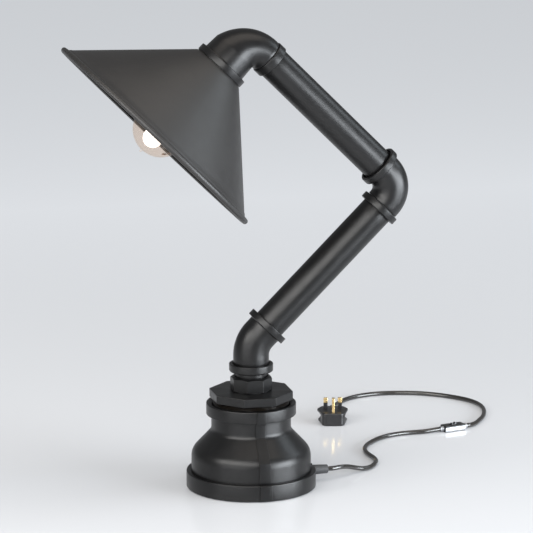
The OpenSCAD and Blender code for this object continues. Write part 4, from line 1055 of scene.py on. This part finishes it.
# %% [markdown]
# ## Lampholder and the bulb's cap
# A moulded holder with its ring sits on the threaded tube, and the bulb's cap screws into it. The cap's
# thread is a row of soft waves in its outline. A real helix would be truer, but the holder hides nearly all
# of the cap.

# %% Lampholder and the bulb's cap
holder = [(5.05, 62.6), (12.5, 62.6), (17.0, 67.6), (17.0, 77.6), (19.5, 80.6), (19.5, 120.6), (17.2, 120.6),
          (17.2, 80.6), (14.5, 80.6), (14.5, 69.6), (5.05, 69.6)]
holder = soften(holder, {1: 1.0, 2: 3.0, 3: 0.6, 4: 0.8, 5: 0.8, 6: 0.4}, 5)
piece("lampholder_shell", *lathe(holder, HEAD, 96), HOLDER, "head", "holder_plastic", ["lampholder"])
holder_ring = soften([(19.55, 86.6), (23.0, 86.6), (23.0, 94.6), (19.55, 94.6)], {1: 1, 2: 1}, 4)
piece("shade_ring", *lathe(holder_ring, HEAD, 96), HOLDER, "head", "holder_plastic", ["holder_ring"])

CAP_R, CAP_THREAD, CAP_PITCH = 13.2, 0.45, 4.0
cap = [(0.01, 95.6), (5.0, 95.6), (5.0, 97.1), (8.0, 97.1), (12.9, 100.1)]
cap += [(CAP_R - CAP_THREAD * (1 - math.cos(2 * math.pi * (s - 100.1) / CAP_PITCH)) / 2 - 0.05, s)
        for s in np.arange(100.5, 120.2, 0.5)]
cap += [(12.6, 120.6), (12.6, 124.5), (12.2, 124.6), (0.01, 124.6)]
piece("bulb_screw_cap", *lathe(cap, HEAD, 72), CAPMETAL, "head", "bulb_base", ["bulb_cap"])

# %% [markdown]
# ## Globe and stem
# The bulb is a blown globe with a pip where it was sealed. Its outline is two arcs that touch, and the same
# two arcs moved in by the wall make the inside, so the glass is a closed shell. The stem carries the
# filaments.

# %% Globe and stem
GLOBE_S, GLOBE_R, FILLET, NECK_GLASS_R, GLASS_WALL = 180.1, 41.0, 18.0, 12.4, 1.0


def glass_side(inset, steps=44):
    neck_glass, r, f = NECK_GLASS_R - inset, GLOBE_R - inset, FILLET + inset
    cx = neck_glass + f
    cy = GLOBE_S - math.sqrt((r + f) ** 2 - cx ** 2)
    a = math.degrees(math.atan2(GLOBE_S - cy, -cx))
    return arc(cx, cy, f, 180, a, 10) + arc(0, GLOBE_S, r, a - 180, 90, steps)[1:]


pip = [(3.6, 40.8), (2.6, 41.3), (1.9, 42.4), (1.5, 43.8), (0.8, 44.6), (0.01, 44.7)]
pip = [(r, GLOBE_S + s) for r, s in pip]
side = [p for p in glass_side(0) if not (p[0] < 3.7 and p[1] > GLOBE_S)]
inner = [p for p in glass_side(GLASS_WALL)[::-1] if p[1] > 126.2]
inner[0] = (0.01, inner[0][1])
globe = [(12.2, 124.6)] + side + pip + inner + [(11.2, 126.1), (0.01, 126.1), (0.01, 124.6)]
piece("bulb_globe", *lathe(globe, HEAD, 128), GLASS, "head", "bulb_envelope", ["bulb_glass"], sharp=50)

stem = soften([(0.01, 126.1), (8.0, 126.1), (3.5, 138.1), (3.5, 164.0), (5.0, 167.0), (0.01, 168.5)],
              {1: 1.0, 2: 5.0, 3: 1.0, 4: 1.5}, 4, closed=False)
piece("bulb_stem_glass", *lathe(stem, HEAD, 40), STEM, "head", "bulb_inside", ["bulb_stem"])

# %% [markdown]
# ## Filaments and the bright core
# Six glowing strips lean out from the stem, and an inner frosted diffuser, which the photograph shows as a
# white core, lights the bulb up. One strip is swept and the second tree sets its copies round the axis. The
# small dark leaf on a wire beside the core is a painted reflection of the shade's dark rim in the glass.

# %% Filaments and the bright core
def in_head(me):
    """Moves a mesh from the head's own frame, in metres, to the lamp's."""
    x, y, z, o = HEAD.x, HEAD.y, HEAD.z, HEAD.o * MM
    me.transform(Matrix([[x[k], y[k], z[k], o[k]] for k in range(3)] + [[0, 0, 0, 1]]))
    return me


def fan(name, points, radius, material, sides=10):
    """Six copies of one swept strip round the head's axis."""
    strip = show(name, swept(name, np.array(points) * MM, radius, material, sides))
    return in_head(with_nodes(strip, COPIES, Count=6, Radius=0.001, Material=material))


strips = fan("strip", [(3.0, 0, 166.5), (7.5, 1.0, 180.0), (12.0, 2.5, 194.0)], 0.0012, FILAMENT)
finish_piece("filaments", strips, FILAMENT, "head", sharp=60)
wires = fan("wire", [(1.5, 0, 164.5), (3.0, 0, 166.6)], 0.0005, STEEL, 8)
finish_piece("filament_wires", wires, STEEL, "head", sharp=60)

CORE_S, CORE_R, CORE_WALL = 17, 14.4, 0.8
wall = soften([(9.5, 129.0), (10.0, 150.0), (12.6, GLOBE_S)], {1: 12.0}, 6, closed=False)
core = wall + arc(0, GLOBE_S + CORE_S, CORE_R, -20, 90, 40)
hollow = [(max(r - CORE_WALL, 0.0), z - CORE_WALL * max(0.0, (z - GLOBE_S - CORE_S) / CORE_R))
          for r, z in reversed(core)]
core = [(max(r, 0.01), z) for r, z in core] + [(max(r, 0.009), z) for r, z in hollow]
piece("inner_diffuser", *lathe(core, HEAD, 96), DIFFUSER, "head", "bulb_inside", sharp=60)

GLOBE = HEAD.at([0, 0, GLOBE_S]) / MM
VIEW_X, VIEW_UP = np.array([0.971, -0.237, 0.0]), np.array([0.052, 0.215, 0.975])


def beside(x, up):
    """A point in the globe's middle plane, as the photograph faces it."""
    return (GLOBE + x * VIEW_X + up * VIEW_UP) * MM


# Painted reflection: a dark leaf on a wire, set where the shade's dark rim shows reflected in the glass.
tab = Place(beside(4.2, -36.0) / MM, VIEW_X, VIEW_UP)
leaf = [(3.6 * math.sin(t), -1.3 * math.cos(t)) for t in np.linspace(0.05, math.pi - 0.05, 12)]
leaf = welded("tab", *lathe([(0.01, -1.3)] + leaf + [(0.01, 1.3)], tab, 32))
route = [(7.6, -36), (11.5, -35.3), (15.8, -32.6), (20, -20), (23, 0), (27, 9), (35, 24)]
wire = swept("getter_wire", [beside(*p) for p in route], 0.0006, STEEL, 8)
finish_piece("getter", join_meshes([leaf, wire], "getter"), PAINTED_RIM_REFLECTION, "head", sharp=60)

# %% [markdown]
# ## Strain relief and switch
# The cord leaves the base through a rubber strain relief and runs into a switch with silver sides. The
# switch's cover has a slot for the slider, so its outlines run up the outside and come back down inside the
# slot. The slider is a piece of its own on its own body, because it moves.

# %% Strain relief and switch
BOOT = Place((79.5, 0, OUTLET_Z), (0, 0, 1), (1, 0, 0))
boot = [(0.01, 0), (8.9, 0), (8.9, 1.4), (7.85, 1.4), (7.2, 18), (6.5, 35.6), (5.6, 36.5), (3.8, 36.5),
        (3.8, 35.5), (0.01, 35.5)]
boot = soften(boot, {5: 0.8, 6: 0.6}, 4, closed=False)
piece("strain_relief", *lathe(boot, BOOT, 72), RUBBER, "base", "pad_rubber", ["cord_boot"])

SWITCH_X, SWITCH_Y, BODY_Y, BODY_TOP, COVER_TOP = 18.0, 8.7, 7.5, 7.8, 10.0
body = block(-SWITCH_X + 0.2, SWITCH_X - 0.2, -BODY_Y, BODY_Y, 0.0, BODY_TOP, 0.8, SWITCH)
piece("switch_housing", *body, PLASTIC, "base", "black_plastic", ["switch_body"])


def switch_cover(r, slot_x, slot_y):
    """The cover with rounded upper edges, and a slot through it."""
    def outline(inset_by):
        return box_outline(-SWITCH_X, SWITCH_X, -SWITCH_Y, SWITCH_Y, r, inset_by)

    def hole(grow):
        return box_outline(-slot_x, slot_x, -slot_y, slot_y, 0.5, -grow)
    rows = [(outline(0.3), BODY_TOP), (outline(0), BODY_TOP + 0.3)]
    rows += [(outline(r * (1 - math.cos(t))), COVER_TOP - r * (1 - math.sin(t)))
             for t in np.linspace(0, math.pi / 2, 7)]
    rows += [(hole(0.35), COVER_TOP), (hole(0.1), COVER_TOP - 0.12), (hole(0), COVER_TOP - 0.4),
             (hole(0), BODY_TOP)]
    return holed_loft(rows, SWITCH)


piece("switch_top", *switch_cover(1.3, 6.5, 3), PLASTIC, "base", "black_plastic", ["switch_cover"])
trims, ferrules = [], []
sleeve = [(3.6, 0), (4.3, 0), (4.3, 1.6), (3.95, 2.1), (3.95, 4.0), (4.2, 4.4), (4.2, 5.2), (3.95, 5.5),
          (3.6, 5.5)]
for m in (-1, 1):
    y0, y1 = sorted((m * SWITCH_Y, m * BODY_Y))
    trims.append(block(-SWITCH_X, SWITCH_X, y0, y1, 1.0, BODY_TOP, 0.35, SWITCH))
    end = Place(SWITCH.at([m * SWITCH_X, 0, SWITCH_AXIS]) / MM, (0, 0, 1), SWITCH.x * m)
    ferrules.append(lathe(sleeve, end, 64))
piece("switch_side_trims", *join(*trims), SILVER, "base", "silver_trim", ["switch_trims"])
piece("switch_end_ferrules", *join(*ferrules), SILVER, "base", "silver_trim", ["switch_ferrules"])


def grip(x0, x1, top, lean_by):
    """A grip of the slider, its left face leaning so that it faces up and to the left."""
    rows = [(box_outline(x0, x1, -2.7, 2.7, 0.3, 0, 2), 10.3),
            (box_outline(x0 + lean_by * 0.8, x1, -2.65, 2.65, 0.3, 0, 2), top - 0.35),
            (box_outline(x0 + lean_by + 0.2, x1 - 0.15, -2.5, 2.5, 0.3, 0, 2), top - 0.08),
            (box_outline(x0 + lean_by + 0.5, x1 - 0.4, -2.3, 2.3, 0.3, 0, 2), top)]
    return loft(rows, SWITCH)


slider = [block(-4, 4, -2.7, 2.7, 3.2, 10.4, 0.35, SWITCH), grip(-4, -1.8, 12.4, 0.5),
          grip(0.8, 4, 13.0, 1.1)]
piece("slider_button", *join(*slider), PLASTIC, "slider", "black_plastic", ["switch_slider"])

# %% [markdown]
# ## Plug
# The plug is moulded: broad at its pins, waisted behind them for the fingers, round at the cord. Seen along
# its pins its outline is the hull of six circles. That is a shape with a simple rule: at each angle, take
# the circle that reaches furthest. Rows of that outline, wide and narrow in turn, make the waist.

# %% Plug
PIN_T, PIN_W, LINE_PIN_X, SCREW_Y = 4, 6.35, 11.1, -1


def plug_rows(front, back_y, front_y, rows, hole=None):
    """A solid of the plug, with rows of (width at the ears, inset, height). With a hole's radius the solid is
    open from top to bottom for the screw."""
    angles = np.linspace(0, 2 * math.pi, 120, endpoint=False)
    out = []
    for ears, inset_by, z in rows:
        circles = []
        for m in (-1, 1):
            circles += [(m * (ears / 2 - 7), 13.1, 7), (m * (ears / 4 - 1), back_y - 9, 9),
                        (m * (min(front, ears) / 2 - 8), front_y + 8, 8)]
        row = []
        for a in angles:
            c, s = math.cos(a), math.sin(a)
            x, y, r = max(circles, key=lambda q: q[0] * c + q[1] * s + q[2])
            row.append((x + (r - inset_by) * c, y + (r - inset_by) * s))
        out.append((row, z))
    if hole is None:
        return loft(out, PLUG)
    ring = [(hole * math.cos(a), SCREW_Y + hole * math.sin(a)) for a in angles]
    wide = [(x * 1.1, (y - SCREW_Y) * 1.1 + SCREW_Y) for x, y in ring]
    out += [(wide, rows[-1][2]), (ring, rows[-1][2] - 0.35), (ring, rows[0][2])]
    return holed_loft(out, PLUG)


cover = [(44, 2.2, 0), (44, 0.9, 0.4), (44.5, 0.3, 1.2), (45, 0, 2.4), (44.6, 0, 3.6), (43.4, 0, 4.6),
         (41, 0, 5.8), (38.6, 0, 7.0), (36.9, 0, 8.4), (36.3, 0, 10), (36.8, 0, 11.6), (38.4, 0, 13),
         (41, 0, 14.2), (44, 0, 15.2), (45.4, 0, 15.7)]
spout = [(3.6, 17.1), (5.4, 17.1), (5.4, 35.4), (5.0, 36.4), (4.4, 37.0), (3.6, 37.0)]
spout = lathe(spout, Place(PLUG.at([0, 0, PORT_Z]) / MM, (0, 0, 1), PLUG.y), 64)
piece("plug_housing", *join(plug_rows(36, 29.0, -20.4, cover), spout), PLASTIC, "base", "black_plastic",
      ["plug_cover"])
plate = [(46.4, 0.2, 15.7), (47.4, 0, 16.6), (48, 0, 17.8), (48, 0.15, 18.9), (48, 0.5, 19.7),
         (48, 1.1, 20.3), (48, 2.0, 20.5)]
piece("plug_pin_plate", *plug_rows(36, 29.5, -20.5, plate, hole=3.45), PLASTIC, "base", "black_plastic",
      ["plug_base"])

sleeves, pins = [], [block(-PIN_T / 2, PIN_T / 2, -15.1, -7.1, 10.5, 43.1, 0.5, PLUG)]
for m in (-1, 1):
    x = LINE_PIN_X * m
    sleeves.append(block(x - PIN_W / 2, x + PIN_W / 2, 9.1, 13.1, 16.5, 30.05, 0.3, PLUG))
    pins.append(block(x - PIN_W / 2, x + PIN_W / 2, 9.1, 13.1, 30.0, 38.2, 0.6, PLUG))
    pins.append(block(x - 2.4, x + 2.4, 9.9, 12.3, 10.5, 31.0, 0.1, PLUG))
piece("plug_pin_sleeves", *join(*sleeves), PLASTIC, "base", "black_plastic", ["plug_sleeves"])
piece("plug_pins", *join(*pins), BRASS, "base", "brass_parts", ["plug_earth_pin", "plug_line_pins"])
screw = lathe([(0.01, 1.0), (1.7, 1.0), (1.7, 17.9), (3.4, 17.9), (3.4, 19.6), (2.8, 20.2), (0.01, 20.2)],
              Place(PLUG.at([0, SCREW_Y, 0]) / MM), 40)
driver_slot = block(-4, 4, SCREW_Y - 0.5, SCREW_Y + 0.5, 19.3, 21, 0.01, PLUG, 1)
finish_piece("plug_plate_screw", cut("screw", screw, [driver_slot]), STEEL, "base",
             ["plug_screw"])

# %% [markdown]
# ## Cords on the table
# The first stretch of cord ends at the switch. The second starts there and ends at the plug. Both lie
# loose on the table.

# %% [markdown]
# ## Finishes of the CAD nodes that stay
# Washers, clips, flexes, the counterweight and their like are hidden or hardly show, so their CAD shape is
# good enough. They stay as they are and only get the finish of their kind.

# %% Finishes of the CAD nodes that stay
KEPT = {
    CAST: ["base_plate"],
    RUBBER: ["foot_pad", "nut_washer", "base_washer", "middle_washer", "head_washer", "cord_anchor",
             "plug_cord_grip"],
    CORD: ["inner_lead", "riser_flex", "lower_flex", "upper_flex", "head_flex"],
    STEEL: ["ballast", "base_screws", "base_clip", "middle_clip", "head_clip", "clamp_washer", "earth_tag"],
    BRASS: ["terminal_screws", "switch_contacts", "threaded_tube", "tube_nut", "screw_shell"],
    CERAMIC: ["terminal_block", "holder_insert", "plug_fuse"],
}
for material, names in KEPT.items():
    for node in names:
        bpy.data.objects[node].data.materials.clear()
        bpy.data.objects[node].data.materials.append(material)
print(sum(len(names) for names in KEPT.values()), "nodes keep their CAD shape")

# %% [markdown]
# ## Floor
# The lamp stands on a pale, slightly shiny surface that fades into a white far end. One large flat sheet is
# enough. It is darker and clear near the lamp, and it glows further back. Only the camera, reflections and
# glass see that glow, so it doesn't light the lamp from below.

# %% Floor
FLOOR_X, FLOOR_NEAR, FLOOR_FAR = 8, -6, 30
GLOW_NEAR, GLOW_FAR, GLOW_START, GLOW_END = 0.06, 0.42, 0.0, 2.0
sheet = bpy.data.meshes.new("floor")
sheet.from_pydata([(-FLOOR_X, FLOOR_NEAR, 0), (FLOOR_X, FLOOR_NEAR, 0), (FLOOR_X, FLOOR_FAR, 0),
                   (-FLOOR_X, FLOOR_FAR, 0)], [], [(0, 1, 2, 3)])
floor = show("floor", sheet)
FLOOR, nt, p = shader("floor_white")
p.inputs["Base Color"].default_value = (0.65, 0.665, 0.69, 1)
p.inputs["Roughness"].default_value = 0.13
p.inputs["Specular IOR Level"].default_value = 0.9
ray, where = nt.nodes.new("ShaderNodeLightPath"), nt.nodes.new("ShaderNodeTexCoord")
xyz = nt.nodes.new("ShaderNodeSeparateXYZ")
nt.links.new(where.outputs["Object"], xyz.inputs["Vector"])


def combined(operation, *values):
    """A chain of Math nodes over the values."""
    result = values[0]
    for value in values[1:]:
        n = nt.nodes.new("ShaderNodeMath")
        n.operation = operation
        nt.links.new(result, n.inputs[0])
        nt.links.new(value, n.inputs[1])
        result = n.outputs["Value"]
    return result


eyes = [ray.outputs[name] for name in ("Is Camera Ray", "Is Glossy Ray", "Is Transmission Ray")]
seen = combined("MAXIMUM", *eyes)
far_glow = remap(nt, xyz.outputs["Y"], GLOW_NEAR, GLOW_FAR, GLOW_START, GLOW_END)
p.inputs["Emission Color"].default_value = (0.92, 0.955, 1.0, 1)
nt.links.new(combined("MULTIPLY", seen, far_glow), p.inputs["Emission Strength"])
sheet.materials.append(FLOOR)
print("the floor ends", FLOOR_FAR, "m behind the lamp")

# %% [markdown]
# ## Light
# Black paint shows little but what it mirrors, so the lights were placed by the highlights of the
# photograph: a bright soft box at the front right, a wider dimmer one at the front left, a long strip far
# to the left for the thin lines, a small cool one at the side and a warm one overhead. Area lights are the
# soft boxes of a studio.

# %% Light
world = bpy.data.worlds.new("studio")
scene.world = world
world.use_nodes = True
background = world.node_tree.nodes["Background"]
background.inputs["Color"].default_value = (0.95, 0.97, 1.0, 1)
background.inputs["Strength"].default_value = 0.24
LAMP_MIDDLE = (0.1, 0.0, 0.35)


def area(name, place, aim, size, power, color, size_y=None):
    data = bpy.data.lights.new(name, "AREA")
    data.energy, data.color, data.size = power, color, size
    if size_y:
        data.shape, data.size_y = "RECTANGLE", size_y
    ob = show(name, data)
    ob.location = place
    ob.rotation_mode = "QUATERNION"
    ob.rotation_quaternion = (Vector(aim) - Vector(place)).to_track_quat("-Z", "Y")
    print(f"light {name}: {power} W, {size} m wide")


def around(azimuth, distance, height):
    a = math.radians(azimuth)
    return (LAMP_MIDDLE[0] + distance * math.cos(a), LAMP_MIDDLE[1] + distance * math.sin(a), height)


area("front_right", around(321, 2.5, 0.5), LAMP_MIDDLE, 2.2, 125, (0.90, 0.95, 1.0), 0.95)
area("front_left", around(227, 1.9, 1.25), LAMP_MIDDLE, 3.2, 70, (1.0, 0.985, 0.965), 1.0)
area("far_left", around(224, 6.0, 0.7), (0.1, 0, 0.3), 6.0, 66, (0.97, 0.98, 1.0), 0.65)
area("side_right", around(5, 2.5, 1.85), LAMP_MIDDLE, 1.1, 14, (0.84, 0.93, 1.0))
area("top", (0.3, -0.35, 2.6), (0.3, -0.35, 0), 3.0, 28, (1.0, 0.91, 0.82), 1.5)
scene.view_settings.view_transform = "Standard"
